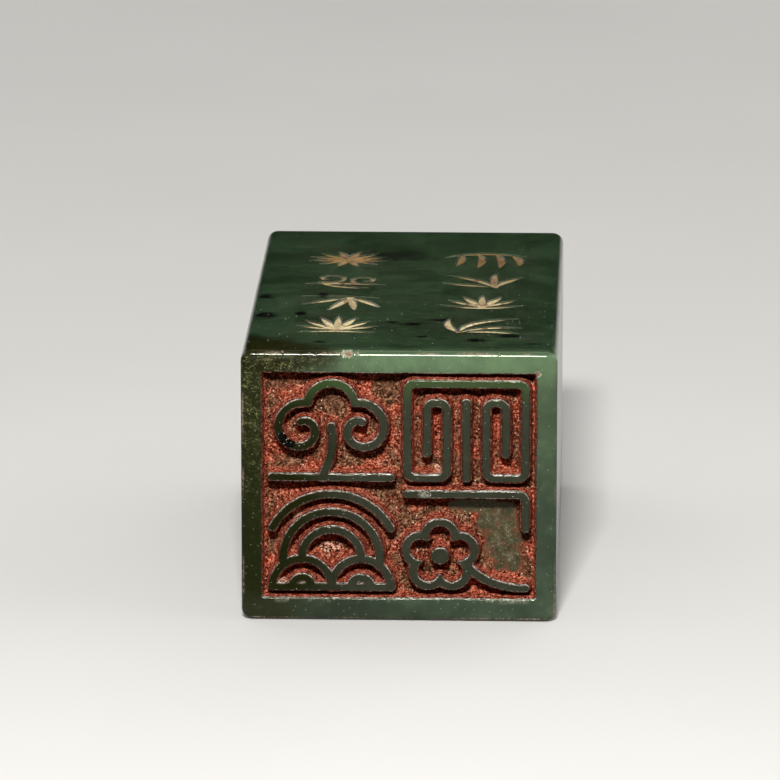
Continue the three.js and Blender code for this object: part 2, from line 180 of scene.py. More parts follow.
def rounded_line(corners, radius):
    """A line through corners, each rounded."""
    corners = np.array(corners, float)
    line = [corners[:1]]
    for before, corner, after in zip(corners, corners[1:], corners[2:]):
        inward = (before - corner) / np.linalg.norm(before - corner)
        outward = (after - corner) / np.linalg.norm(after - corner)
        half = math.acos(np.clip(inward @ outward, -1, 1)) / 2
        middle = (inward + outward) / np.linalg.norm(inward + outward)
        centre = corner + middle * radius / math.sin(half)
        start = corner + inward * radius / math.tan(half) - centre
        end = corner + outward * radius / math.tan(half) - centre
        a = math.degrees(math.atan2(start[1], start[0]))
        b = math.degrees(math.atan2(end[1], end[0]))
        line.append(arc(centre, radius, a, a + (b - a + 180) % 360 - 180))
    line.append(corners[-1:])
    return np.concatenate(line)


def circles_meet(c1, r1, c2, r2):
    """The higher crossing of two circles."""
    c1, c2 = np.array(c1, float), np.array(c2, float)
    d = np.linalg.norm(c2 - c1)
    along = (d * d + r1 * r1 - r2 * r2) / (2 * d)
    off = math.sqrt(max(0, r1 * r1 - along * along))
    ux, uy = (c2 - c1) / d
    base = c1 + along * np.array([ux, uy])
    return max((base + s * off * np.array([-uy, ux]) for s in (1, -1)), key=lambda p: p[1])


def angle_about(centre, p):
    return math.degrees(math.atan2(p[1] - centre[1], p[0] - centre[0])) % 360


# Distances from plane figures, negative inside


def stroke_distance(x, y, line, half_widths):
    """From a line that has the given half width at each of its points."""
    out = np.full(x.shape, FAR)
    low, high = line.min(0) - FAR, line.max(0) + FAR
    near = (x > low[0]) & (x < high[0]) & (y > low[1]) & (y < high[1])
    if not near.any():
        return out
    px, py = x[near], y[near]
    best = np.full(px.shape, FAR)
    for (ax, ay), (bx, by), wa, wb in zip(line, line[1:], half_widths, half_widths[1:]):
        ux, uy = bx - ax, by - ay
        t = np.clip(((px - ax) * ux + (py - ay) * uy) / (ux * ux + uy * uy), 0, 1)
        away = np.hypot(px - ax - t * ux, py - ay - t * uy)
        best = np.minimum(best, away - wa - t * (wb - wa))
    out[near] = best
    return out


def round_distance(x, y, centre, radius_x, radius_y):
    q = np.hypot((x - centre[0]) / radius_x, (y - centre[1]) / radius_y)
    return (q - 1) * math.sqrt(radius_x * radius_y)


# The relief on the stamping end, drawn in each panel's grid squares


def fungus_panel():
    crown, crown_radius = (0, 2.6), EDGE_Z - 2.6
    cap, cap_radius = (-EDGE_X / 2, 0.1), 2.9
    meet = circles_meet(cap, cap_radius, crown, crown_radius)
    start = angle_about(cap, meet)
    crown_start = angle_about(crown, meet)
    roll = arc(cap, cap_radius, start, start + 380, 0.8)
    return [
        roll,
        mirrored(roll),
        arc(crown, crown_radius, crown_start, 180 - crown_start),
        bow((-1, -EDGE_Z), (0.5, -2.4), (0, 0.4)),
        bar(-EDGE_X, -EDGE_Z, EDGE_X, -EDGE_Z),
    ]


def fret_panel():
    leg = [
        (-4, -2.4),
        (-4, EDGE_Z - 2),
        (-2, EDGE_Z - 2),
        (-2, -EDGE_Z),
        (-EDGE_X, -EDGE_Z),
        (-EDGE_X, EDGE_Z),
    ]
    arch = leg + [(-x, y) for x, y in reversed(leg)]
    return [rounded_line(arch, BEND_RADIUS / SQUARE_X), bar(0, -EDGE_Z, 0, EDGE_Z - 2)]


def wave_panel():
    small, small_radii = (-EDGE_X / 2, -EDGE_Z), (3, 1)
    wide, wide_radii = (0, -1.87), (3, 4.9, 6.8)
    lines = [bar(-EDGE_X, -EDGE_Z, EDGE_X, -EDGE_Z)]
    for radius in small_radii:
        arch = arc(small, radius, 0, 180)
        lines += [arch, mirrored(arch)]
    for radius in wide_radii:
        foot = 180 - math.degrees(math.acos(min(1, EDGE_X / radius)))
        if radius < EDGE_X:
            foot = angle_about(wide, circles_meet(wide, radius, small, small_radii[0]))
        lines.append(arc(wide, radius, foot, 180 - foot))
    return lines


def bough_panel():
    bough = [(-EDGE_X, EDGE_Z), (EDGE_X, EDGE_Z), (EDGE_X, 1.4)]
    twig = bow((0.05, -2.5), (2, -EDGE_Z), (EDGE_X, -EDGE_Z))
    return [rounded_line(bough, BEND_RADIUS / SQUARE_X), twig]


def placed(panel, squares):
    """From a panel's squares to millimetres about the field's middle."""
    column, row = panel
    x = column * (PANEL_WIDTH + PANEL_GAP) / 2 + np.asarray(squares)[..., 0] * SQUARE_X
    z = row * (PANEL_HEIGHT + PANEL_GAP) / 2 + np.asarray(squares)[..., 1] * SQUARE_Z
    return np.stack([x, z], -1)


FUNGUS, FRET, WAVES, BOUGH = (-1, 1), (1, 1), (-1, -1), (1, -1)
PANELS = {FUNGUS: fungus_panel, FRET: fret_panel, WAVES: wave_panel, BOUGH: bough_panel}
RELIEF_LINES = [placed(panel, line) for panel, draw in PANELS.items() for line in draw()]

BLOSSOM = np.array([-2.65, -1.6])
PETALS = 5
PETAL_REACH = 2.05
PETAL_RADIUS = 1.55
HEART_RADIUS = 2.4


def blossom_rounds():
    """The petals and the heart, as places and radii in millimetres."""
    turns = [math.pi / 2 + 2 * math.pi * k / PETALS for k in range(PETALS)]
    centres = [BLOSSOM + PETAL_REACH * np.array([math.cos(a), math.sin(a)]) for a in turns]
    rounds = [(placed(BOUGH, c), PETAL_RADIUS) for c in centres]
    return rounds + [(placed(BOUGH, BLOSSOM), HEART_RADIUS)]


def blossom_distance(x, z):
    def grown(centre, squares, by):
        return round_distance(x, z, centre, squares * SQUARE_X + by, squares * SQUARE_Z + by)

    rounds = blossom_rounds()
    outside = np.minimum.reduce([grown(c, r, HALF_LINE) for c, r in rounds])
    inside = np.minimum.reduce([grown(c, r, -HALF_LINE) for c, r in rounds])
    centre, heart = rounds[-1]
    boss = grown(centre, heart, -HALF_LINE - BOSS_CHANNEL)
    return np.minimum(np.maximum(outside, -inside), boss)


def field_edge_distance(x, z):
    """How far a place lies inside the field's edge, negative on the rim."""
    wander = 0.035 * noise(x, z, 2.6, 11) + 0.02 * noise(x, z, 0.5, 12)
    dx = FIELD_WIDTH / 2 - np.abs(x)
    dz = FIELD_HEIGHT / 2 - np.abs(z)
    return smooth_min(dx, dz, 0.3) + wander


def relief_distance(x, z):
    """From the nearest raised shape of the relief, the rim included."""
    s = blossom_distance(x, z)
    for line in RELIEF_LINES:
        s = smooth_min(s, stroke_distance(x, z, line, np.full(len(line), HALF_LINE)), 0.12)
    s = s + 0.022 * noise(x, z, 1.7, 21) + 0.014 * noise(x, z, 0.45, 22)
    return np.minimum(s, field_edge_distance(x, z))


def relief_height(s):
    """Above the field's floor, for a distance from a raised shape."""
    t = np.clip(s + SHOULDER, 0, SHOULDER)
    top = DEPTH - SHOULDER + np.sqrt(SHOULDER**2 - t**2)
    wall = (DEPTH - SHOULDER) * (1 - s / FLARE)
    return smooth_max(np.where(s <= 0, top, wall), 0, 0.35)


# Bare places of the floor, in the bough's grid squares: middle, width and height
BALD = [((3.2, 1.0), (3.9, 6.2)), ((4.3, -2.6), (2.6, 2.0)), ((0.6, 3.3), (3.6, 1.4))]


def baldness(x, z):
    """How bare the floor is, from 0 to 1."""
    bare = np.zeros_like(x)
    for centre, (across, up) in BALD:
        cx, cz = placed(BOUGH, centre)
        away = np.hypot((x - cx) / (across * SQUARE_X / 2), (z - cz) / (up * SQUARE_Z / 2))
        bare = np.maximum(bare, 1 - step(0.6, 1.5, away + 0.35 * noise(x, z, 0.9, 65)))
    return bare


# Small damage: place in the field's plane, radius and depth
EDGE_TOP = HEIGHT - FIELD_Z - 0.3
RIM_LOW = -FIELD_HEIGHT / 2
RIM_SIDE = FIELD_WIDTH / 2
CHIPS = [
    (-6.2, EDGE_TOP, 0.42, 0.2),
    (-5.65, EDGE_TOP + 0.05, 0.46, 0.24),
    (-4.65, EDGE_TOP + 0.12, 0.2, 0.06),
    (2.7, EDGE_TOP + 0.12, 0.16, 0.04),
    (11.4, EDGE_TOP + 0.12, 0.18, 0.05),
    (-13.2, EDGE_TOP + 0.12, 0.2, 0.07),
    (-9.4, EDGE_TOP + 0.12, 0.17, 0.05),
    (12.9, RIM_LOW - 0.05, 0.3, 0.12),
    (10.9, RIM_LOW, 0.36, 0.1),
    (11.6, RIM_LOW - 0.2, 0.24, 0.05),
    (6.2, RIM_LOW, 0.25, 0.07),
    (-7.4, RIM_LOW, 0.26, 0.07),
    (-12.6, RIM_LOW, 0.3, 0.08),
    (-RIM_SIDE, 2.2, 0.26, 0.08),
    (-RIM_SIDE, -6.9, 0.2, 0.06),
    (RIM_SIDE, -RIM_LOW, 0.42, 0.22),
    (2.75, -0.85, 0.28, 0.14),
    (3.2, -1.05, 0.22, 0.12),
    (-12.95, 5.2, 0.3, 0.12),
    (-12.35, 4.75, 0.28, 0.14),
]
WORST_CHIP = max(deep for *_, deep in CHIPS)


def chip_depth(x, z):
    rough = 1 + 0.35 * noise(x, z, 0.22, 31)
    depth = np.zeros_like(x)
    for cx, cz, radius, deep in CHIPS:
        away = np.hypot(x - cx, z - cz) * rough / radius
        depth = np.maximum(depth, deep * np.sqrt(np.clip(1 - away**2, 0, 1)))
    return depth


NICK_DEPTH = 0.05
EDGE_WAVER = 0.009


def nick_depth(x, z, s):
    """Small nicks that break a line's upper edge."""
    rough = step(0.25, 0.75, noise(x, z, 0.32, 33)) * step(-0.3, 0.5, noise(x, z, 1.9, 34))
    return NICK_DEPTH * rough * np.exp(-(((s + 0.06) / 0.1) ** 2))


# The gilt marks on the upper side, in halves of a mark's width and height


def mark_point(p):
    return np.array([p[0] * MARK_WIDTH / 2, p[1] * MARK_HEIGHT / 2])


def scroll(centre, radius, from_deg, to_deg, end_radius):
    ends = (radius * MARK_HEIGHT, end_radius * MARK_HEIGHT)
    line = arc(mark_point(centre), ends[0], from_deg, to_deg, ends[1])
    return line, np.full(len(line), GROOVE_WIDTH / 2)


def knot(centre, radius=KNOT_RADIUS):
    c = mark_point(centre)
    return np.array([c, c + [0.001, 0]]), np.full(2, radius)


def leaf(start, bend, end, width=LEAF_WIDTH):
    line = bow(mark_point(start), mark_point(bend), mark_point(end))
    swell = LEAF_TIP + (1 - LEAF_TIP) * np.sin(np.linspace(0, math.pi, len(line)))
    return line, width / 2 * swell


def tuft(foot, *leaves):
    return [knot(foot), *[leaf(foot, bend, tip) for bend, tip in leaves]]


def fan(foot, count, spread_deg, reach):
    leaves = []
    for k in range(count):
        a = math.radians(90 + spread_deg * (k / (count - 1) - 0.5))
        step_x, step_y = reach[0] * math.cos(a), reach[1] * math.sin(a)
        near = (foot[0] + 0.5 * step_x, foot[1] + 0.5 * step_y)
        leaves.append((near, (foot[0] + step_x, foot[1] + step_y)))
    return tuft(foot, *leaves)


def turned_over(stroke):
    return -stroke[0], stroke[1]


FLOWER_HALF = fan((0, 0), 6, 150, (1, 1))

# Each mark's column, row and strokes
MARKS = {
    "gilt_palmette": (0, 0, [
        *fan((0, -0.6), 7, 150, (1, 1.6)),
        leaf((-0.9, -1), (0, -0.55), (0.9, -1)),
    ]),
    "gilt_bamboo": (0, 1, [
        leaf((-1, 0.75), (0, 0.85), (0.9, 0.55), GROOVE_WIDTH),
        *tuft((0.2, 0.65), ((-0.3, 0.3), (-0.95, -0.3)), ((0, -0.1), (-0.3, -1))),
        *tuft((0.2, 0.65), ((0.3, -0.1), (0.35, -0.95)), ((0.6, 0.2), (0.95, -0.6))),
    ]),
    "gilt_clouds": (0, 2, [
        scroll((-0.38, 0.25), 0.27, -120, 230, 0.1),
        scroll((0.5, 0.05), 0.22, 240, -80, 0.09),
        leaf((-0.95, -0.5), (-0.1, -0.2), (1, -0.6)),
        leaf((-0.6, -0.35), (-0.2, -0.9), (0.6, -1)),
    ]),
    "gilt_chrysanthemum": (0, 3, [
        *FLOWER_HALF,
        *map(turned_over, FLOWER_HALF),
        knot((0, 0), 2 * KNOT_RADIUS),
    ]),
    "gilt_orchid": (1, 0, [
        *tuft((-0.5, -0.8), ((-0.4, 0.6), (0.9, 0.85)), ((0.1, 0), (1, -0.3))),
        *tuft((-0.5, -0.8), ((-0.9, -0.1), (-0.75, 0.8)), ((0.3, -0.6), (0.95, -1))),
    ]),
    "gilt_lotus": (1, 1, [
        *fan((0, -0.45), 5, 110, (1, 1.4)),
        leaf((-1, -0.3), (0, -0.85), (1, -0.3)),
    ]),
    "gilt_reeds": (1, 2, [
        *tuft((0.3, -0.75), ((0.5, 0.1), (0.95, 0.5)), ((0.2, 0.3), (0.3, 0.95))),
        *tuft((0.3, -0.75), ((-0.1, 0.3), (-0.9, 0.75)), ((-0.3, -0.5), (-1, -0.3))),
    ]),
    "gilt_willow": (1, 3, [
        leaf((-1, 0.3), (-0.1, 1.3), (1, 0.45)),
        leaf((-0.62, 0.6), (-0.55, 0), (-0.75, -0.75)),
        leaf((-0.2, 0.78), (0, 0), (-0.2, -1)),
        leaf((0.25, 0.78), (0.5, 0), (0.35, -1)),
        leaf((0.65, 0.65), (0.95, 0.1), (0.85, -0.7)),
    ]),
}


def mark_centre(name):
    column, row, _ = MARKS[name]
    return MARK_X[column], FRONT + NEAR_MARK_INSET + MARK_PITCH * row


def mark_distance(x, y, name):
    cx, cy = mark_centre(name)
    s = np.full(x.shape, FAR)
    for line, half_widths in MARKS[name][2]:
        s = np.minimum(s, stroke_distance(x - cx, y - cy, line, half_widths))
    return s + 0.02 * noise(x, y, 0.5, 41)


def groove_distance(x, y):
    return np.minimum.reduce([mark_distance(x, y, name) for name in MARKS])


GROOVE_SLOPE = 1.05  # the marks are cut with a slanted tool
GILT_INSET = 0.13  # the gold keeps this far from a mark's outline
GILT_TOP = 0.11  # and starts this far below the upper side
GILT_SLOPE = 0.64


def groove_height(s):
    """Against the upper side, for a distance from the marks' outlines."""
    return smooth_max(smooth_min(0, s * GROOVE_SLOPE, 0.06), -GROOVE_DEPTH, 0.12)


# Grids whose points are drawn onto the outlines that they pass


def snapped(x, y, distance, cell, levels):
    """Moves grid points that lie near an outline, or near one of its offsets, onto it."""
    s = distance(x, y)
    for _ in range(2):
        level = np.array(levels)[np.abs(s[..., None] - levels).argmin(-1)]
        near = np.abs(s - level) < cell / 2
        px, py, ps = x[near], y[near], s[near]
        eps = cell / 10
        gx = (distance(px + eps, py) - ps) / eps
        gy = (distance(px, py + eps) - ps) / eps
        size = np.maximum(gx * gx + gy * gy, 0.25)
        reach = np.clip((level[near] - ps) / size, -cell / 2, cell / 2)
        x[near] += gx * reach
        y[near] += gy * reach
        s[near] = distance(x[near], y[near])
    return s


def grid_triangles(index, height, kept=True):
    """Two triangles in each kept cell of a grid, split along the more level diagonal. They
    run counterclockwise for columns to the right and rows upward."""
    a, b, c, d = index[:-1, :-1], index[:-1, 1:], index[1:, 1:], index[1:, :-1]
    h = height
    level = np.abs(h[:-1, :-1] - h[1:, 1:]) <= np.abs(h[:-1, 1:] - h[1:, :-1])
    first = np.where(level[..., None], np.stack([a, b, c], -1), np.stack([a, b, d], -1))
    second = np.where(level[..., None], np.stack([a, c, d], -1), np.stack([b, c, d], -1))
    cells = np.stack([first, second], 2)
    return cells[np.broadcast_to(kept, level.shape)].reshape(-1, 3)


def zipped(one, other, points):
    """Triangles between two rows of points that run side by side. Seen with the first row
    below and both running to the right, they face the viewer."""
    def shares(row):
        steps = np.linalg.norm(np.diff(points[row], axis=0), axis=1)
        return np.concatenate([[0], np.cumsum(steps)]) / steps.sum()

    s, t = shares(one), shares(other)
    i, j, faces = 0, 0, []
    while i < len(one) - 1 or j < len(other) - 1:
        if j == len(other) - 1 or (i < len(one) - 1 and s[i + 1] <= t[j + 1]):
            faces.append((one[i], one[i + 1], other[j]))
            i += 1
        else:
            faces.append((one[i], other[j + 1], other[j]))
            j += 1
    return np.array(faces)


def thin_out(piece):
    """Merges a piece's triangles where it is flattest, until it has few enough, and lets the
    larger faces set the normals, so that flat places stay flat up to their rounded edges."""
    dense = piece.data
    if len(dense.polygons) > MOST_TRIANGLES:
        thinner = piece.modifiers.new("thinner", "DECIMATE")
        thinner.ratio = MOST_TRIANGLES / len(dense.polygons)
    piece.modifiers.new("normals", "WEIGHTED_NORMAL").weight = 50
    evaluated = piece.evaluated_get(bpy.context.evaluated_depsgraph_get())
    piece.data = bpy.data.meshes.new_from_object(evaluated)
    piece.modifiers.clear()
    bpy.data.meshes.remove(dense)
    piece.data.name = piece.name


def make_piece(name, points, faces, material, nodes, marks):
    """A piece of the stamp from points in millimetres, with a value per point for each mark."""
    mesh = bpy.data.meshes.new(name)
    mesh.from_pydata(points.tolist(), [], np.asarray(faces).tolist())
    mesh.validate()
    for key, values in marks.items():
        layer = mesh.attributes.new(key, "FLOAT", "POINT")
        layer.data.foreach_set("value", np.asarray(values, np.float32))
    mesh.polygons.foreach_set("use_smooth", np.full(len(mesh.polygons), True))
    mesh.materials.append(material)
    piece = bpy.data.objects.new(name, mesh)
    bpy.context.scene.collection.objects.link(piece)
    thin_out(piece)
    piece.data.transform(Matrix.Scale(MM, 4))
    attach(piece, "root")
    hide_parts(*nodes)


# The jade block: a fine front, a fine upper side, and plain sides and back


# Insets of the grid lines that run through the front's rounded edge and corners
EDGE_INSETS = [*(END_EDGE * (1 - np.cos(np.linspace(0, math.pi / 2, 8)))), 0.85, 1.05, LONG_EDGE]


def cap_lines(total, low_rim, high_rim):
    """Grid lines across the front, close together in the field and on the outer edge."""
    edge = list(EDGE_INSETS)
    low_end, high_end = low_rim - FINE_RIM, high_rim - FINE_RIM
    low = edge + list(np.linspace(LONG_EDGE, low_end, 5)[1:])
    high = edge + list(np.linspace(LONG_EDGE, high_end, 5)[1:])
    count = round((total - low_end - high_end) / FIELD_CELL)
    fine = np.linspace(low_end, total - high_end, count + 1)[1:-1]
    return np.array(low + list(fine) + [total - e for e in reversed(high)])


def round_corners(x, z):
    """Bends the square corners of nested frames into arcs, so that each keeps its inset."""
    inset_x = WIDTH / 2 - np.abs(x)
    inset_z = np.minimum(z, HEIGHT - z)
    u, v = 1 - inset_x / LONG_EDGE, 1 - inset_z / LONG_EDGE
    corner = (u > 0) & (v > 0)
    big, small = np.maximum(u, v), np.minimum(u, v)
    turn = math.pi / 4 * small / np.where(corner, big, 1)
    along, across = big * np.cos(turn), big * np.sin(turn)
    new_u, new_v = np.where(u >= v, along, across), np.where(u >= v, across, along)
    x = np.where(corner, np.sign(x) * (WIDTH / 2 - LONG_EDGE * (1 - new_u)), x)
    up = z > HEIGHT / 2
    to_z = LONG_EDGE * (1 - new_v)
    z = np.where(corner, np.where(up, HEIGHT - to_z, to_z), z)
    return x, z, np.minimum(inset_x, inset_z)


def end_drop(inset):
    """How far the rounded edge of an end stands back at an inset from the sides."""
    e = np.clip(inset, 0, END_EDGE)
    return END_EDGE - np.sqrt(END_EDGE**2 - (END_EDGE - e) ** 2)


def known(s):
    """Distances, with a plain depth inside the rim where none was measured."""
    return np.where(s > -FAR, s, -1)


def scuff_marks(x, z, inset):
    """Pale wear on the front's rounded outer edge, heaviest along its foot."""
    at_foot = step(RIM_LOW - 0.8 * BOTTOM_RIM, RIM_LOW - 0.9 * BOTTOM_RIM, z)
    ring = np.exp(-(((inset - 0.22 - 0.2 * at_foot) / (0.1 + 0.04 * at_foot)) ** 2))
    light = 0.6 * step(0.0, 0.6, noise(x, z, 2.2, 36)) * (1 - 0.5 * at_foot)
    near_ends = np.maximum(step(6.5, 10, x), step(-14.5, -15.5, x))
    worst = near_ends * step(-0.5, 0.2, noise(x, z, 0.22, 37))
    scattered = 0.25 * step(-0.3, 0.3, noise(x, z, 0.3, 38))
    return ring * np.maximum(light, at_foot * np.maximum(worst, scattered))


def front_cap():
    """The stamping end as a grid of points, with the distance that shapes each one."""
    x, z = np.meshgrid(
        cap_lines(WIDTH, SIDE_RIM, SIDE_RIM) - WIDTH / 2,
        cap_lines(HEIGHT, BOTTOM_RIM, TOP_RIM),
    )
    x, z, inset = round_corners(x, z)
    z = z - FIELD_Z
    fine = inset > SIDE_RIM - SNAP_RIM
    s = np.full(x.shape, -FAR)
    fx, fz = x[fine], z[fine]
    s[fine] = snapped(fx, fz, relief_distance, FIELD_CELL, [-SHOULDER, -SHOULDER / 2, 0.0, FLARE])
    x[fine], z[fine] = fx, fz
    height = relief_height(known(s))
    height += 0.05 * layered(x, z, 0.7, 51) * step(FLARE, 0.6, s) * baldness(x, z)
    height -= nick_depth(x, z, s)
    chips = chip_depth(x, z)
    lean = np.clip(1 - inset / END_EDGE, 0, 1)  # how far the rounded edge leans outward
    uneven = EDGE_WAVER * (1 + layered(x + z, x - z, 0.5, 35, 2)) * np.sin(math.pi * lean)
    cut = chips + uneven
    y = FRONT + DEPTH - height + end_drop(inset) + cut * np.sqrt(1 - lean**2)
    points = np.stack([x, y, z + FIELD_Z - cut * lean], -1)
    return points, s, height, chips / WORST_CHIP, scuff_marks(x, z, inset)


def perimeter(grid):
    """The points on a grid's outer edge, counterclockwise from the lower left."""
    return np.concatenate([grid[0, :-1], grid[:-1, -1], grid[-1, :0:-1], grid[:0:-1, 0]])


def thinned(first, last, spacing, points):
    """Evenly picked indices from first up to, but without, last."""
    length = np.linalg.norm(points[last % len(points)] - points[first])
    count = max(1, round(length / spacing))
    return list(np.linspace(first, last, count + 1).round().astype(int)[:-1])


def spaced(start, end, cell):
    """Even steps of about a cell from start, itself left out, to end."""
    count = max(1, round((end - start) / cell))
    return list(np.linspace(start, end, count + 1)[1:])


def patch_lines(low, high, middles, reach):
    """Grid lines that are close together round each middle and wide apart elsewhere."""
    lines = [low]
    for middle in middles:
        lines += spaced(lines[-1], middle - reach, SIDE_CELL)
        lines += spaced(middle - reach, middle + reach, MARK_CELL)
    return np.array(lines + spaced(lines[-1], high, SIDE_CELL))


STRIP = 0.5  # width of the strips that join surfaces of different fineness
RIPPLE = 0.012  # how far the polished sides dip here and there
BACK_RINGS = (0.7, 0.4, 0.15)  # sizes of the rings that close the flat back


def upper_side():
    """The side with the gilt marks as a grid of points, with the distance from a mark."""
    flat = WIDTH / 2 - LONG_EDGE
    end = LENGTH / 2 - END_EDGE - STRIP
    rows = [mark_centre(name)[1] for name in MARKS if MARKS[name][0] == 0]
    x, y = np.meshgrid(
        patch_lines(-flat, flat, MARK_X, MARK_WIDTH / 2 + 0.6),
        patch_lines(-end, end, rows, MARK_HEIGHT / 2 + 0.6),
    )
    inner = (slice(1, -1), slice(1, -1))
    fx, fy = x[inner].copy(), y[inner].copy()
    s = np.full(x.shape, FAR)
    s[inner] = snapped(fx, fy, groove_distance, MARK_CELL, [0.0, -GILT_INSET])
    x[inner], y[inner] = fx, fy
    return np.stack([x, y, HEIGHT + groove_height(s)], -1), s


def jade_mesh():
    """Points and triangles of the whole block, and the relief's distances on its front."""
    cap, s, height, chips, scuffs = front_cap()
    rows, columns = height.shape
    points = [cap.reshape(-1, 3)]
    cap_index = np.arange(rows * columns).reshape(rows, columns)
    faces = [grid_triangles(cap_index, height)]

    # The front's outer edge, from the end of the upper left corner round to there again.
    arc_steps = 2 * (len(EDGE_INSETS) - 1)
    edge = perimeter(cap_index)
    edge = np.roll(edge, -(columns - 1 + rows - 1 + columns - len(EDGE_INSETS)))
    turns = np.cumsum([0, arc_steps, rows - 1 - arc_steps, arc_steps, columns - 1 - arc_steps,
                       arc_steps, rows - 1 - arc_steps, arc_steps, columns - 1 - arc_steps])
    top_start = turns[7]
    edge_points = points[0][edge]
    picked = []
    for k, (first, last) in enumerate(zip(turns, turns[1:])):
        flat = k % 2 == 1
        picked += thinned(first, last, SIDE_CELL, edge_points) if flat else list(range(first, last))
    picked = np.array(picked)
    under = picked[(picked > 0) & (picked < top_start)]

    # Stations along the sides, as offsets from the rounded edges' middle lines.
    core = edge_points.copy()
    core[:, 0] = np.clip(core[:, 0], LONG_EDGE - WIDTH / 2, WIDTH / 2 - LONG_EDGE)
    core[:, 2] = np.clip(core[:, 2], LONG_EDGE, HEIGHT - LONG_EDGE)
    outward = edge_points - core
    outward[:, 1] = 0
    outward /= np.linalg.norm(outward, axis=1)[:, None]

    def ring(which, y, inset=0.0, shrink=1.0):
        out = core[which] + outward[which] * (LONG_EDGE - inset)
        middle = np.array([0, 0, HEIGHT / 2])
        out = middle + (out - middle) * shrink
        out[:, 1] = y
        return out

    def add(new):
        start = sum(len(p) for p in points)
        points.append(new)
        return np.arange(start, start + len(new))

    back = LENGTH / 2 - END_EDGE
    stations = np.linspace(FRONT + END_EDGE + STRIP, back, round(LENGTH / SIDE_CELL))
    grid = []
    for y in stations:
        new = ring(under, y)
        dip = RIPPLE * (0.5 + 0.5 * noise(new[:, 0] + new[:, 2], new[:, 1], 9, 71))
        at_end = y == stations[-1]
        grid.append(add(new - outward[under] * (0 if at_end else dip[:, None])))
    grid = np.array(grid)
    faces.append(grid_triangles(grid[::-1], np.zeros(grid.shape)))

    all_points = np.concatenate(points)
    faces.append(zipped(grid[0], edge[1 : top_start], all_points))

    # The upper side, joined to the front's edge and to the sides.
    top, top_s = upper_side()
    top_index = add(top.reshape(-1, 3)).reshape(top_s.shape)
    faces.append(grid_triangles(top_index, top[..., 2]))
    back_top = picked[picked >= top_start]
    back_row = add(ring(np.append(back_top, 0), back))[::-1]
    all_points = np.concatenate(points)
    front_row = np.append(edge[top_start :], edge[0])[::-1]
    left = np.concatenate([[front_row[0]], top_index[:, 0], [back_row[0]]])
    right = np.concatenate([[front_row[-1]], top_index[:, -1], [back_row[-1]]])
    left_side = np.concatenate([[edge[1]], grid[:, 0]])
    right_side = np.concatenate([[edge[top_start - 1]], grid[:, -1]])
    faces.append(zipped(front_row, top_index[0], all_points))
    faces.append(zipped(top_index[-1], back_row, all_points))
    faces.append(zipped(left, left_side, all_points))
    faces.append(zipped(right_side, right, all_points))

    # The back: its rounded edge and then its flat.
    rim = np.concatenate([grid[-1], back_row[::-1]])
    order = np.concatenate([under, back_top, [0]])
    quarter = np.linspace(0, math.pi / 2, 7)[1:]
    insets = [(END_EDGE * (1 - math.cos(a)), END_EDGE * math.sin(a), 1.0) for a in quarter]
    insets += [(END_EDGE, END_EDGE, shrink) for shrink in BACK_RINGS]
    for inset, along, shrink in insets:
        new = add(ring(order, back + along, inset, shrink))
        closed = np.stack([np.append(new, new[0]), np.append(rim, rim[0])])
        faces.append(grid_triangles(closed, np.zeros(closed.shape)))
        rim = new
    hub = add(np.array([[0, LENGTH / 2, HEIGHT / 2]]))[0]
    faces.append(np.stack([rim, np.full(len(rim), hub), np.roll(rim, -1)], -1))
    front = {"index": cap_index, "s": s, "height": height, "chips": chips, "scuffs": scuffs}
    upper = {"index": top_index, "s": top_s}
    return np.concatenate(points), np.concatenate(faces), front, upper


def without_strays(kept):
    """Drops cells of a mask that have few kept neighbours."""
    for _ in range(3):
        around = np.pad(kept.astype(int), 1)
        total = sum(
            np.roll(around, (i, j), (0, 1))[1:-1, 1:-1] for i in (-1, 0, 1) for j in (-1, 0, 1)
        )
        kept = kept & (total >= 4)
    return kept


def all_corners(mask):
    return mask[:-1, :-1] & mask[:-1, 1:] & mask[1:, 1:] & mask[1:, :-1]


def any_corner(mask):
    return mask[:-1, :-1] | mask[:-1, 1:] | mask[1:, 1:] | mask[1:, :-1]


def closed_body(points, faces, axis, level):
    """A sheet made into a closed body, by a flat underside at a level along an axis."""
    used, faces = np.unique(faces, return_inverse=True)
    faces = faces.reshape(-1, 3)
    upper = points[used]
    lower = upper.copy()
    lower[:, axis] = level
    edges = np.concatenate([faces[:, [0, 1]], faces[:, [1, 2]], faces[:, [2, 0]]])
    _, first, count = np.unique(np.sort(edges, 1), axis=0, return_index=True, return_counts=True)
    a, b = edges[first[count == 1]].T
    n = len(used)
    walls = np.concatenate([np.stack([b, a, a + n], 1), np.stack([b, a + n, b + n], 1)])
    return np.concatenate([upper, lower]), np.concatenate([faces, walls, faces[:, ::-1] + n]), used


# The paste: thick at the feet of the walls, thin or gone in open places


def paste_height(x, z, s):
    """Above the field's floor."""
    clump = layered(x, z, 0.85, 61)
    grain = layered(x, z, 0.3, 66, 2)
    skin = 0.075 + 0.03 * noise(x, z, 0.8, 62) + 0.03 * grain
    cover = DEPTH - 0.16 - 0.07 * (1 + noise(x, z, 0.9, 63)) + 0.05 * grain
    wall = np.minimum((DEPTH - SHOULDER) * (1 - (s - skin) / FLARE), np.minimum(cover, 2.26))
    heap = 0.5 * np.exp(-np.clip(s - FLARE, 0, None) / 0.42)
    bed = 0.16 + heap + 0.1 * noise(x, z, 2.4, 64) + 0.1 * clump + 0.07 * grain
    bed -= 0.62 * baldness(x, z)
    return smooth_max(wall, bed, 0.4)


def coat_body(points, height, kept, axis, level):
    """A closed coat over the kept cells of a grid of points."""
    index = np.arange(height.size).reshape(height.shape)
    faces = grid_triangles(index, height, kept)
    return closed_body(points.reshape(-1, 3), faces, axis, level)


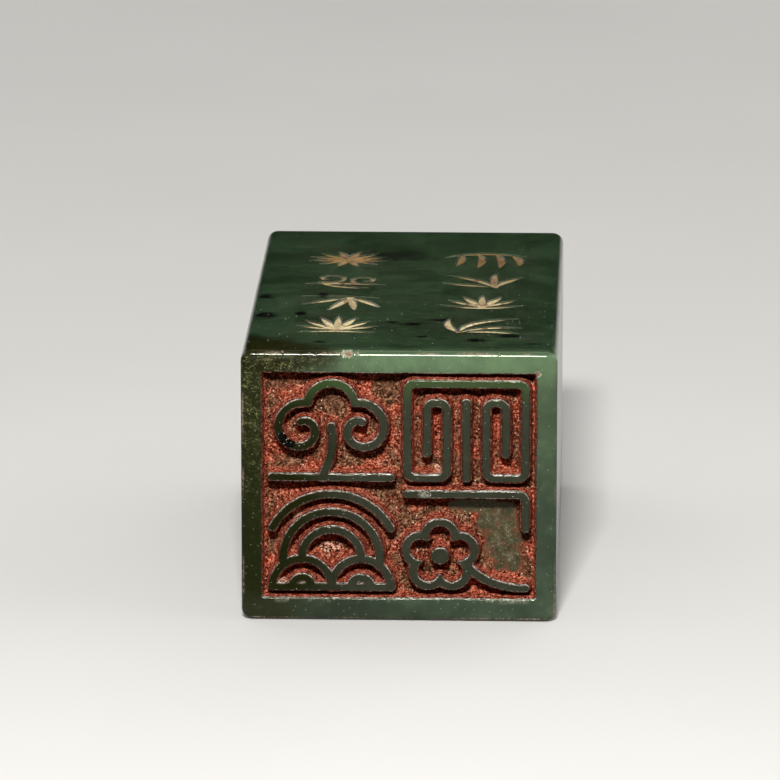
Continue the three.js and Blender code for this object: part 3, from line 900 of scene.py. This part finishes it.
PASTE_SLACK = 0.003  # points this near a wall's top still carry paste
PASTE_BACK = 0.12  # the paste's underside lies this far below the field's floor
POCKETS = 5


def make_paste(cap, front, thick, material):
    """A skin of paste wherever it is thicker than nothing between the raised lines."""
    height = front["height"] + thick
    kept = without_strays(all_corners(front["s"] > -PASTE_SLACK) & any_corner(thick > 0))
    points = np.stack([cap[..., 0], FRONT + DEPTH - height, cap[..., 2]], -1)
    points, faces, used = coat_body(points, height, kept, 1, FRONT + DEPTH + PASTE_BACK)
    depth = np.concatenate([1 - height.ravel()[used] / DEPTH, np.ones(len(used))])
    nodes = ["paste_bed", *[f"paste_pocket_{k + 1}" for k in range(POCKETS)]]
    marks = {"deep": depth, "thick": np.tile(thick.ravel()[used], 2)}
    make_piece("cinnabar_paste", points, faces, material, nodes, marks)


GILT_SLACK = 0.004  # points this near the gold's outline still carry gold
GILT_COAT = 0.03  # how thick the gold is over a groove's bottom, and how far it sinks below


def gilt_height(x, y, s):
    """Against the upper side: a thin coat of gold on a groove's slanted walls."""
    lined = GILT_SLOPE * (s + GILT_INSET) - GILT_TOP
    return smooth_max(lined, GILT_COAT - GROOVE_DEPTH, 0.06) + 0.012 * layered(x, y, 0.3, 81)


def make_gilt(name, top, material):
    cx, cy = mark_centre(name)
    x, y = top[..., 0], top[..., 1]
    s = mark_distance(x, y, name)
    height = gilt_height(x, y, s)
    kept = without_strays(all_corners(s < GILT_SLACK - GILT_INSET))
    points = np.stack([x, y, HEIGHT + height], -1)
    points, faces, used = coat_body(points, height, kept, 2, HEIGHT - GROOVE_DEPTH - GILT_COAT)
    # The wall mark makes the gold on a groove's slanted walls darker in the material: painted shade.
    wall = np.tile(step(GILT_INSET + 0.12, GILT_INSET, -s.ravel()[used]), 2)
    make_piece(name + "_leaf", points, faces, material, [name], {"wall": wall})


# Materials


def rgb(red, green, blue):
    """A screen colour as the shader's linear one."""
    return (*[((c / 255 + 0.055) / 1.055) ** 2.4 if c > 10 else c / 255 / 12.92
              for c in (red, green, blue)], 1.0)


def feed(tree, socket, value):
    """Links a socket to another one, or sets it to a value."""
    if isinstance(value, bpy.types.NodeSocket):
        tree.links.new(value, socket)
    else:
        socket.default_value = value


def add_node(tree, kind, inputs=None, **settings):
    made = tree.nodes.new("ShaderNode" + kind)
    for key, value in settings.items():
        setattr(made, key, value)
    for key, value in (inputs or {}).items():
        feed(tree, made.inputs[key], value)
    return made


class Paint:
    """A node material, with short calls for the nodes that it needs. Places are in mm."""

    def __init__(self, name):
        self.material = bpy.data.materials.new(name)
        self.material.use_nodes = True
        self.tree = self.material.node_tree
        self.shader = self.tree.nodes["Principled BSDF"]
        place = self.add("TexCoord").outputs["Object"]
        self.place = self.add("VectorMath", {0: place, "Scale": 1 / MM}, operation="SCALE").outputs[0]
        self.x, self.y, self.z = self.add("SeparateXYZ", {0: self.place}).outputs

    def add(self, kind, inputs=None, **settings):
        return add_node(self.tree, kind, inputs, **settings)

    def noise(self, size, detail=3.0, stretch=(1, 1, 1), rough=0.5, distortion=0.0, shift=0.0):
        where = self.add("Mapping", {"Vector": self.place, "Scale": stretch, "Location": (shift,) * 3})
        wanted = {"Vector": where.outputs[0], "Scale": 1 / size, "Detail": detail,
                  "Roughness": rough, "Distortion": distortion}
        return self.add("TexNoise", wanted).outputs["Fac"]

    def math(self, operation, *values):
        made = self.add("Math", dict(enumerate(values)), operation=operation)
        return made.outputs[0]

    def chain(self, operation, values):
        return reduce(lambda one, other: self.math(operation, one, other), values)

    def times(self, *values):
        return self.chain("MULTIPLY", values)

    def either(self, *values):
        return self.chain("MAXIMUM", values)

    def band(self, value, low, high, to_low=0.0, to_high=1.0):
        """The value's range from low to high, drawn out smoothly to another range."""
        wanted = {"Value": value, "From Min": low, "From Max": high, "To Min": to_low, "To Max": to_high}
        return self.add("MapRange", wanted, interpolation_type="SMOOTHSTEP").outputs["Result"]

    def mix(self, factor, *colours):
        """From one colour to another. Each is a socket or a screen colour's three numbers."""
        made = self.add("Mix", data_type="RGBA")
        one, other = (rgb(*c) if isinstance(c, tuple) else c for c in colours)
        for key, value in {"Factor": factor, "A": one, "B": other}.items():
            socket = next(s for s in made.inputs if s.name == key and s.enabled)
            feed(self.tree, socket, value)
        return next(s for s in made.outputs if s.enabled)

    def coats(self, colour, *coats):
        """A colour under coats of paint, each given as how much of it shows and its colour."""
        for shows, coat in coats:
            colour = self.mix(shows, colour, coat)
        return colour

    def moved(self, value, noise, reach):
        """A value that a noise moves up and down."""
        return self.math("MULTIPLY_ADD", self.math("SUBTRACT", noise, 0.5), reach, value)

    def away(self, value, middle):
        return self.math("ABSOLUTE", self.math("SUBTRACT", value, middle))

    def cells(self, spacing, place, dimensions="3D"):
        """A pattern of cells: how far a place is from its cell's point, and the cell's chance."""
        wanted = {"Vector": place, "Scale": 1 / spacing}
        made = self.add("TexVoronoi", wanted, feature="F1", voronoi_dimensions=dimensions)
        chance = self.add("SeparateColor", {0: made.outputs["Color"]}).outputs[0]
        return made.outputs["Distance"], chance

    def mark(self, name):
        return self.add("Attribute", attribute_name=name, attribute_type="GEOMETRY").outputs["Fac"]

    def bump(self, height, distance, strength=1.0, below=None):
        wanted = {"Height": height, "Distance": distance * MM, "Strength": strength}
        if below is not None:
            wanted["Normal"] = below
        return self.add("Bump", wanted).outputs[0]

    def set(self, **inputs):
        for key, value in inputs.items():
            feed(self.tree, self.shader.inputs[key.replace("_", " ")], value)


# Black flecks in the upper side: place from its middle line and from the front, and radii
FLECKS = [
    ((-16.0, 17.5), (0.95, 1.1)),
    ((-16.5, 27.0), (0.7, 0.9)),
    ((-11.9, 18.6), (0.5, 0.8)),
    ((-9.8, 28.0), (0.5, 0.8)),
    ((-9.1, 4.6), (0.6, 0.35)),
    ((1.2, 13.6), (0.9, 0.55)),
    ((-1.3, 14.4), (0.6, 0.35)),
    ((4.4, 15.7), (1.0, 0.5)),
    ((2.4, 7.6), (0.4, 0.35)),
    ((8.5, 5.9), (0.95, 0.7)),
    ((12.5, 8.1), (1.1, 0.6)),
    ((10.5, 9.7), (0.8, 0.35)),
    ((15.2, 4.3), (0.5, 0.25)),
    ((-1.0, 48.7), (2.8, 2.4)),
]

# Inclusions that a line of the relief cuts through: place in the front's plane, and radii
BLACK_INCLUSIONS = [((-13.2, FIELD_Z + 5.55), (0.5, 0.7)), ((-12.5, FIELD_Z + 4.85), (0.75, 0.5))]
CRYSTALS = [((3.0, FIELD_Z - 0.95), (0.75, 0.4))]


def spots(p, places, upright):
    """How near the closest ragged spot is, below 1 inside it. Upright spots are on the front,
    the others on the upper side."""
    ragged = p.times(p.math("SUBTRACT", p.noise(0.9, 6, stretch=(0.6, 1, 1), rough=0.8), 0.5), 2.0)
    found = None
    for (across, along), (wide, long) in places:
        start = -(along if upright else FRONT + along) / long
        location = (-across / wide, 0, start) if upright else (-across / wide, start, 0)
        scale = (1 / wide, 0, 1 / long) if upright else (1 / wide, 1 / long, 0)
        where = p.add("Mapping", {"Vector": p.place, "Location": location, "Scale": scale})
        away = p.add("VectorMath", {0: where.outputs[0]}, operation="LENGTH").outputs["Value"]
        found = away if found is None else p.math("MINIMUM", found, away)
    return p.math("ADD", found, ragged)


def sparkles(p, spacing, radius, share, shift=0.0, stretch=(1, 1, 1), flat=None):
    """Small bright points: a share of the cells of a random pattern holds one each. The
    pattern is solid, or lies flat on two axes."""
    place = p.place if flat is None else p.add("CombineXYZ", dict(enumerate(flat))).outputs[0]
    where = {"Vector": place, "Location": (shift,) * 3, "Scale": stretch}
    where = p.add("Mapping", where).outputs[0]
    distance, chance = p.cells(spacing, where, "3D" if flat is None else "2D")
    point = p.band(distance, radius / spacing, 0.6 * radius / spacing)
    return p.times(point, p.math("LESS_THAN", chance, share))


class JadePaint(Paint):
    """Knows where on the block a place is, and holds the noises that several coats share."""

    def __init__(self):
        super().__init__("jade")
        self.behind = self.math("SUBTRACT", self.y, FRONT)
        wander = self.math("MULTIPLY_ADD", self.noise(5, 4, distortion=0.5), 7, -3.5)
        self.left = self.math("ADD", self.x, wander)
        self.upper = self.band(self.z, HEIGHT - 0.45, HEIGHT - 0.1)
        self.front = self.band(self.behind, 7, 1.5)
        russet_reach = self.math("ADD", self.left, self.times(self.behind, 1.4))
        top_left = self.band(russet_reach, -4, -9)
        self.russet = self.times(top_left, self.band(self.z, HEIGHT - 3, HEIGHT - 0.6))
        self.floor = self.mark("floor")
        self.mottle = self.noise(2.6, 5, rough=0.62)
        self.fine = self.noise(0.35, 4, rough=0.65)
        self.haze = self.noise(1.0, 6, rough=0.72)


def plain_stone(p):
    """Clouded green, paler up on the right, where a painted glow stands for light that enters from
    above, and darker low down on the left.
    """
    cloud = p.noise(12, 4, rough=0.55, distortion=0.6)
    # Paler up on the right: a painted glow of light entering from above.
    lit_side = p.times(p.band(p.z, 7, HEIGHT - 2), p.band(p.left, 2, 15), p.front, 0.25)
    dark_side = p.times(p.band(p.z, 4, 1.5), p.band(p.left, 12, -8), p.front, 0.6)
    return p.coats(
        p.mix(p.band(cloud, 0.3, 0.7), (38, 51, 38), (62, 77, 59)),
        (p.band(p.mottle, 0.45, 0.75, 0, 0.4), (92, 110, 84)),
        (p.band(p.mottle, 0.45, 0.3, 0, 0.38), (28, 40, 26)),
        (lit_side, (98, 124, 82)),
        (dark_side, (28, 34, 24)),
    )


def upper_stone(p):
    """Deeper green, with drifting clouds and a pale lip along the front that is a painted glow."""
    drift = p.noise(9, 4, rough=0.5, distortion=0.5, shift=2)
    return p.coats(
        p.mix(p.band(drift, 0.3, 0.7), (28, 46, 25), (44, 66, 41)),
        (p.band(p.mottle, 0.5, 0.75, 0, 0.45), (62, 84, 60)),
        (p.band(p.mottle, 0.45, 0.3, 0, 0.4), (20, 36, 18)),
        # The pale lip along the front: a painted glow of light through the edge.
        (p.band(p.behind, 2.6, 0.3, 0, 0.55), (86, 106, 76)),
    )


def top_glow(p):
    """Light enters at the top edge of the stamping end, so the stone is paler below it."""
    glow = p.times(p.band(p.z, HEIGHT - 4.6, HEIGHT - 1.2), p.band(p.left, -13, -4), p.front)
    glow = p.times(glow, p.math("SUBTRACT", 1, p.upper))
    return p.times(glow, p.band(p.mottle, 0.3, 0.7, 0.6, 1))


def weathered(p, green):
    """Olive, russet and pale scuffs towards the left of the stamping end."""
    olive = p.times(p.band(p.left, -8, -14.5), p.front, 0.95)
    olive_stone = p.mix(p.band(p.z, 3, HEIGHT - 4), (25, 29, 3), (31, 33, 7))
    flaws = p.noise(0.34, 7, stretch=(0.7, 1, 1.3), rough=0.8, distortion=1.6, shift=6)
    scuffed = p.times(p.band(p.haze, 0.4, 0.6), p.band(p.z, 10, HEIGHT - 5, 0.06, 1))
    scuffs = p.times(p.band(flaws, 0.5, 0.63), scuffed, p.band(p.left, -4, -11), p.front,
                     p.math("MULTIPLY_ADD", p.upper, -0.7, 0.8))
    return p.coats(
        green,
        (olive, olive_stone),
        (p.times(p.russet, 0.95), (24, 25, 2)),
        (scuffs, (166, 162, 108)),
    )


def stained_and_glowing_stone(p):
    """The raised lines have taken up oil and ink, and near the top they are painted greener, a painted
    glow of light from above.
    """
    paler = p.times(p.band(p.mottle, 0.4, 0.75, 0, 0.35), p.band(p.left, -12, -2, 0.3, 1))
    return p.coats(
        p.mix(p.band(p.left, -12, -3), (23, 25, 0), (35, 37, 24)),
        (paler, (60, 64, 52)),
        # Greener near the top: a painted glow of light from above, not a stain.
        (p.times(p.band(p.z, HEIGHT - 7, HEIGHT - 3.6), 0.65), (52, 76, 32)),
    )


def bare_floor(p, green):
    """The field's floor, with a haze of paste that thickens towards the paste itself."""
    streaks = p.noise(0.7, 7, stretch=(1, 1, 0.45), rough=0.78, distortion=1.8, shift=8)
    cracks = p.noise(1.6, 5, rough=0.7, distortion=2.4, shift=14)
    scratch = p.times(p.band(p.away(cracks, 0.5), 0.018, 0.0), p.band(p.haze, 0.5, 0.62, 0, 0.7))
    bare = p.coats(
        p.mix(p.band(p.haze, 0.35, 0.65), (42, 46, 26), (76, 76, 52)),
        (p.band(streaks, 0.48, 0.6, 0, 0.85), (90, 62, 42)),
        (scratch, (196, 186, 156)),
    )
    film = p.band(p.moved(p.mark("film"), streaks, 5.0), 0.35, 1.0, 0, 0.9)
    crumbs = p.band(p.noise(0.3, 4, rough=0.7, shift=3), 0.6, 0.68, 0, 0.85)
    return p.coats(
        green,
        (p.floor, bare),
        (p.times(film, p.floor, p.band(p.fine, 0.38, 0.58, 0.25, 1)), (112, 64, 44)),
        (p.times(p.floor, crumbs), (154, 74, 52)),
        (p.times(p.floor, sparkles(p, 0.36, 0.075, 0.14, 12)), (206, 190, 166)),
    )


def worn_and_highlit_edges(p, green):
    """Pale wear on the lines' and the rim's edges, white where the mark is strong, which on edges that
    face up is a painted highlight, and the chips.
    """
    edge = p.mark("edge")
    chip = p.times(p.mark("chip"), p.band(p.fine, 0.35, 0.55, 0.3, 1.2))
    return p.coats(
        green,
        # Pale wear, white where the edge mark is strong: on edges that face up that white is a painted
        # highlight.
        (p.times(edge, p.band(p.fine, 0.4, 0.6, 0.1, 1.0)),
         p.mix(p.band(edge, 0.5, 0.8), (196, 162, 142), (240, 236, 224))),
        (p.band(chip, 0.08, 0.4, 0, 0.75), (178, 174, 150)),
        (p.band(chip, 0.6, 0.9, 0, 0.7), (120, 66, 46)),
    )


def bruises(p):
    """The lower rim's inner edge is bruised, most of all near its right end."""
    lip = p.times(p.band(p.z, BOTTOM_RIM - 0.8, BOTTOM_RIM - 0.15), p.front,
                  p.band(p.z, BOTTOM_RIM + 0.15, BOTTOM_RIM - 0.02))
    right_end = p.band(p.away(p.x, 13.1), 2.0, 1.3, 0, 0.75)
    left_end = p.band(p.away(p.x, -13.4), 1.1, 0.5, 0, 0.6)
    elsewhere = p.band(p.noise(1.6, 5, rough=0.75, shift=17), 0.54, 0.64, 0, 0.7)
    rough = p.band(p.noise(0.22, 5, rough=0.8, shift=19), 0.4, 0.6, 0.1, 0.9)
    return p.times(p.either(elsewhere, right_end, left_end), lip, rough)


def dusted(p, green):
    """Small bright specks, more of them on the near part of the upper side and the front."""
    near = p.times(sparkles(p, 0.7, 0.065, 0.65, 7, (1, 0.35, 1)), p.upper,
                   p.band(p.behind, 32, 12))
    dust = p.times(p.either(sparkles(p, 1.3, 0.07, 0.4, 4), near), 0.75)
    fine_dust = p.times(sparkles(p, 1.4, 0.065, 0.6, 21, flat=(p.x, p.z)), p.front, 0.4)
    return p.coats(green, (dust, (205, 208, 200)), (fine_dust, (190, 194, 172)))


def jade_material():
    p = JadePaint()
    green = p.mix(p.upper, plain_stone(p), upper_stone(p))
    green = p.mix(top_glow(p), green, (100, 126, 90))
    green = weathered(p, green)
    green = p.mix(p.mark("inner"), green, stained_and_glowing_stone(p))
    green = bare_floor(p, green)
    green = worn_and_highlit_edges(p, green)
    green = p.mix(bruises(p), green, (158, 158, 142))

    near_fleck = spots(p, FLECKS, False)
    near_part = p.times(p.upper, p.band(p.behind, 45, 25, 0.5, 1))
    flecks = p.times(p.band(near_fleck, 1.2, 1.0), near_part)
    inclusions = p.times(p.band(spots(p, BLACK_INCLUSIONS, True), 1.2, 0.95), p.front)
    crystal = p.times(p.band(spots(p, CRYSTALS, True), 1.2, 0.95), p.front)
    glints = p.times(sparkles(p, 0.32, 0.085, 0.65), p.either(crystal, inclusions))
    green = p.coats(
        green,
        (p.times(p.band(near_fleck, 2.4, 1.0, 0, 0.5), near_part), (12, 26, 6)),
        (p.either(flecks, inclusions), (3, 4, 2)),
        (p.times(crystal, p.band(p.fine, 0.45, 0.6, 0.2, 1)), (120, 118, 104)),
        (glints, (225, 222, 205)),
        (p.times(sparkles(p, 0.4, 0.06, 0.3, 9), flecks), (190, 160, 90)),
    )
    green = dusted(p, green)

    polish = p.band(p.noise(4, 5, rough=0.7), 0.3, 0.75, 0.12, 0.2)
    rough = p.math("ADD", polish, p.times(p.floor, 0.3))
    # Weathered stone and inclusions take less polish, all but the bright upper front edge.
    worn_skin = p.times(p.band(p.left, -4, -13), p.front,
                        p.band(p.z, HEIGHT - 0.75, HEIGHT - 1.4), p.band(p.z, 1.5, 4))
    dull = p.either(worn_skin, p.times(p.russet, p.upper), inclusions)
    gloss = p.math("MULTIPLY_ADD", dull, -0.27, 0.35)
    scratches = p.noise(0.5, 2, stretch=(0.08, 1, 1.6), distortion=1.2, shift=5)
    bump = p.bump(p.band(scratches, 0.62, 0.7), 0.012, 0.5)
    bump = p.bump(p.fine, 0.01, 0.6, bump)
    p.set(Base_Color=green, Roughness=rough, Normal=bump, IOR=1.45,
          Specular_IOR_Level=gloss, Specular_Tint=(0.95, 1, 0.8, 1), Subsurface_Weight=0.25,
          Subsurface_Radius=(0.5, 0.9, 0.4), Subsurface_Scale=MM)
    return p.material


# Paler, chalky paste in sheltered places: place in the front's plane, and radii
CHALKY = [((-13.5, FIELD_Z - 11.6), (0.8, 0.35)), ((-7.9, FIELD_Z - 7.7), (1.1, 0.6)),
          ((4.7, FIELD_Z + 1.9), (0.6, 0.4)), ((-11.6, FIELD_Z - 3.9), (0.5, 0.8))]


def paste_material():
    p = Paint("cinnabar_paste")
    distance, chance = p.cells(0.17, p.place)
    grain = p.moved(p.noise(0.3, 3, rough=0.7), chance, 0.26)
    lump = p.noise(1.0, 4, rough=0.6)
    stain = p.noise(3.2, 4, rough=0.6)
    deep, thick = p.mark("deep"), p.mark("thick")
    brown = p.times(p.band(deep, 0.68, 0.9), p.band(stain, 0.38, 0.52), 0.85)
    brown_paste = p.mix(p.band(lump, 0.4, 0.6), (54, 43, 25), (92, 68, 45))
    # Grain tops are painted lighter: a painted highlight over the grain's own tone.
    bright = p.mix(brown, (232, 146, 116), (156, 122, 92))
    thin = p.band(p.moved(thick, lump, 0.5), 0.2, 0.02)
    chalky = p.times(p.band(spots(p, CHALKY, True), 1.2, 0.95), p.band(grain, 0.42, 0.56, 0, 0.9))
    glints = sparkles(p, 0.5, 0.085, 0.34)
    red = p.coats(
        p.mix(p.band(lump, 0.3, 0.7), (108, 33, 16), (160, 68, 44)),
        (brown, brown_paste),
        # Lighter grain tops are a painted highlight and the near-black pits a painted shade, over the
        # grain's own tone.
        (p.band(grain, 0.5, 0.68, 0, 0.85), bright),
        (p.band(grain, 0.46, 0.35, 0, 0.9), (18, 3, 1)),
        (p.times(thin, 0.8), (108, 70, 48)),
        (chalky, (232, 186, 156)),
        (glints, (244, 222, 200)),
    )
    rough = p.math("SUBTRACT", 0.85, p.times(glints, 0.45))
    bump = p.bump(lump, 0.14, 0.9)
    bump = p.bump(p.math("SUBTRACT", grain, distance), 0.07, 1.0, bump)
    p.set(Base_Color=red, Roughness=rough, Normal=bump, IOR=1.45, Specular_IOR_Level=0.1)
    return p.material


def gilt_material():
    p = Paint("gilt")
    grain = p.noise(0.24, 4, rough=0.7)
    wear = p.noise(1.5, 4, rough=0.65)
    # Painted shade: the far rows of marks are painted darker than the near ones.
    far = p.band(p.y, FRONT + 10, FRONT + 50)
    gold = p.coats(
        p.mix(far, (250, 230, 178), (160, 128, 74)),
        (p.band(grain, 0.45, 0.68, 0, 0.6), (142, 100, 52)),
        # Darker gold on the groove walls: painted shade in the grooves.
        (p.band(p.mark("wall"), 0.5, 1.0, 0, 0.6), (104, 72, 38)),
        (p.band(wear, 0.53, 0.6, 0, 0.9), (98, 52, 28)),
    )
    metal = p.band(wear, 0.6, 0.53, 0.1, 0.6)
    p.set(Base_Color=gold, Metallic=metal, Roughness=0.38, IOR=1.5,
          Normal=p.bump(grain, 0.03, 0.7))
    return p.material


def floor_material():
    """Pale to the camera and in reflections, while it throws less light onto the stamp."""
    p = Paint("pale_floor")
    pale = p.mix(p.noise(60, 3), (214, 212, 207), (222, 220, 215))
    ray = p.add("LightPath").outputs
    seen = p.either(ray["Is Camera Ray"], ray["Is Glossy Ray"], ray["Is Transmission Ray"])
    p.set(Base_Color=p.mix(seen, (36, 35, 34), pale), Roughness=0.85, IOR=1.3)
    return p.material


# The stamp


def edge_wear_and_highlight(s, z):
    """Wear on the raised lines' edges, wider on the edges that face up or down. On the edges that face
    up it is also a painted highlight.
    """
    slope = np.gradient(s, axis=0) / np.gradient(z, axis=0)
    rising, falling = step(0.0, 0.8, slope), step(0.0, 0.8, -slope)
    place = -0.005 - 0.02 * rising - 0.075 * falling
    reach = 0.045 + 0.02 * rising
    return np.exp(-(((s - place) / reach) ** 2)) * (0.5 + 0.5 * np.maximum(rising, falling))


def jade_marks(count, cap, front, upper, thick):
    """The values per point that the jade's material reads."""
    x, z, s = cap[..., 0], cap[..., 2] - FIELD_Z, front["s"]
    floor_share = step(0.05, 0.2, s)
    on_front = {
        "inner": step(-0.06, 0.03, field_edge_distance(x, z)),
        "floor": floor_share,
        "film": step(-0.4, 0.0, thick) * floor_share,
        # The edge mark is wear, and on edges that face up also a painted highlight.
        "edge": np.maximum(edge_wear_and_highlight(s, z), front["scuffs"]),
        "chip": front["chips"],
    }
    marks = {key: np.zeros(count) for key in on_front}
    for key, values in on_front.items():
        marks[key][front["index"]] = values
    marks["edge"][upper["index"]] = 0.15 * np.exp(-((upper["s"] / 0.07) ** 2))
    return marks


points, faces, front, upper = jade_mesh()
cap = points[front["index"]]
thick = paste_height(cap[..., 0], cap[..., 2] - FIELD_Z, known(front["s"])) - front["height"]
marks = jade_marks(len(points), cap, front, upper, thick)
make_piece("jade_stone", points, faces, jade_material(), ["jade_block"], marks)
make_paste(cap, front, thick, paste_material())
gilt_paint = gilt_material()
for mark_name in MARKS:
    make_gilt(mark_name, points[upper["index"]], gilt_paint)


# The stage: floor, light and camera

floor_mesh = bpy.data.meshes.new("floor")
half_floor = 4.0
corners = [(-half_floor, -half_floor, 0), (half_floor, -half_floor, 0),
           (half_floor, half_floor, 0), (-half_floor, half_floor, 0)]
floor_mesh.from_pydata(corners, [], [(0, 1, 2, 3)])
floor_mesh.materials.append(floor_material())
floor = bpy.data.objects.new("floor", floor_mesh)
bpy.context.scene.collection.objects.link(floor)


def area_light(name, place, target, size, watts):
    light = bpy.data.lights.new(name, "AREA")
    light.shape = "RECTANGLE"
    light.size, light.size_y = size
    light.energy = watts
    lamp = bpy.data.objects.new(name, light)
    lamp.location = place
    lamp.rotation_euler = (Vector(target) - Vector(place)).to_track_quat("-Z", "Y").to_euler()
    bpy.context.scene.collection.objects.link(lamp)


# Each lamp's place, target, size and watts
FACE = (0, FRONT * MM, HEIGHT / 2 * MM)
MIDDLE = (0, 0, 0.016)
LAMPS = {
    "key_light": ((-0.012, -0.52, 0.37), FACE, (0.08, 0.055), 4.75),
    "right_light": ((0.5, 0.0, 0.28), MIDDLE, (0.45, 0.45), 0.7),
    "left_light": ((-0.5, 0.1, 0.28), MIDDLE, (0.45, 0.45), 0.4),
    "back_light": ((0.1, 0.5, 0.6), MIDDLE, (0.5, 0.5), 0.6),
    "back_right_light": ((0.45, 0.5, 0.25), MIDDLE, (0.45, 0.45), 0.8),
    "back_left_light": ((-0.45, 0.5, 0.25), MIDDLE, (0.45, 0.45), 0.8),
}
for lamp_name, lamp_values in LAMPS.items():
    area_light(lamp_name, *lamp_values)

# The sky is dark at the horizon and brighter overhead.
world = bpy.data.worlds.new("studio")
bpy.context.scene.world = world
world.use_nodes = True
sky = world.node_tree
direction = add_node(sky, "TexCoord").outputs["Generated"]
upward = add_node(sky, "SeparateXYZ", {0: direction}).outputs["Z"]
wanted = {"Value": upward, "From Min": 0.3, "From Max": 0.9, "To Min": 0.01, "To Max": 0.28}
brightness = add_node(sky, "MapRange", wanted).outputs["Result"]
feed(sky, sky.nodes["Background"].inputs["Strength"], brightness)
feed(sky, sky.nodes["Background"].inputs["Color"], (1, 1, 1, 1))

PITCH = math.radians(14)
YAW = math.radians(-1.94)
LENS = 328.6
DISTANCE = 0.8078
VIEW_TARGET = Vector((-0.001, FRONT * MM, 0.02725))
level = math.cos(PITCH)
forward = Vector((math.sin(YAW) * level, math.cos(YAW) * level, -math.sin(PITCH)))
camera_data = bpy.data.cameras.new("camera")
camera_data.lens = LENS
camera_data.sensor_width = 36
camera_data.clip_end = 30
camera = bpy.data.objects.new("camera", camera_data)
camera.location = VIEW_TARGET - DISTANCE * forward
camera.rotation_euler = forward.to_track_quat("-Z", "Y").to_euler()
bpy.context.scene.collection.objects.link(camera)
bpy.context.scene.camera = camera
bpy.context.scene.view_settings.view_transform = "Standard"
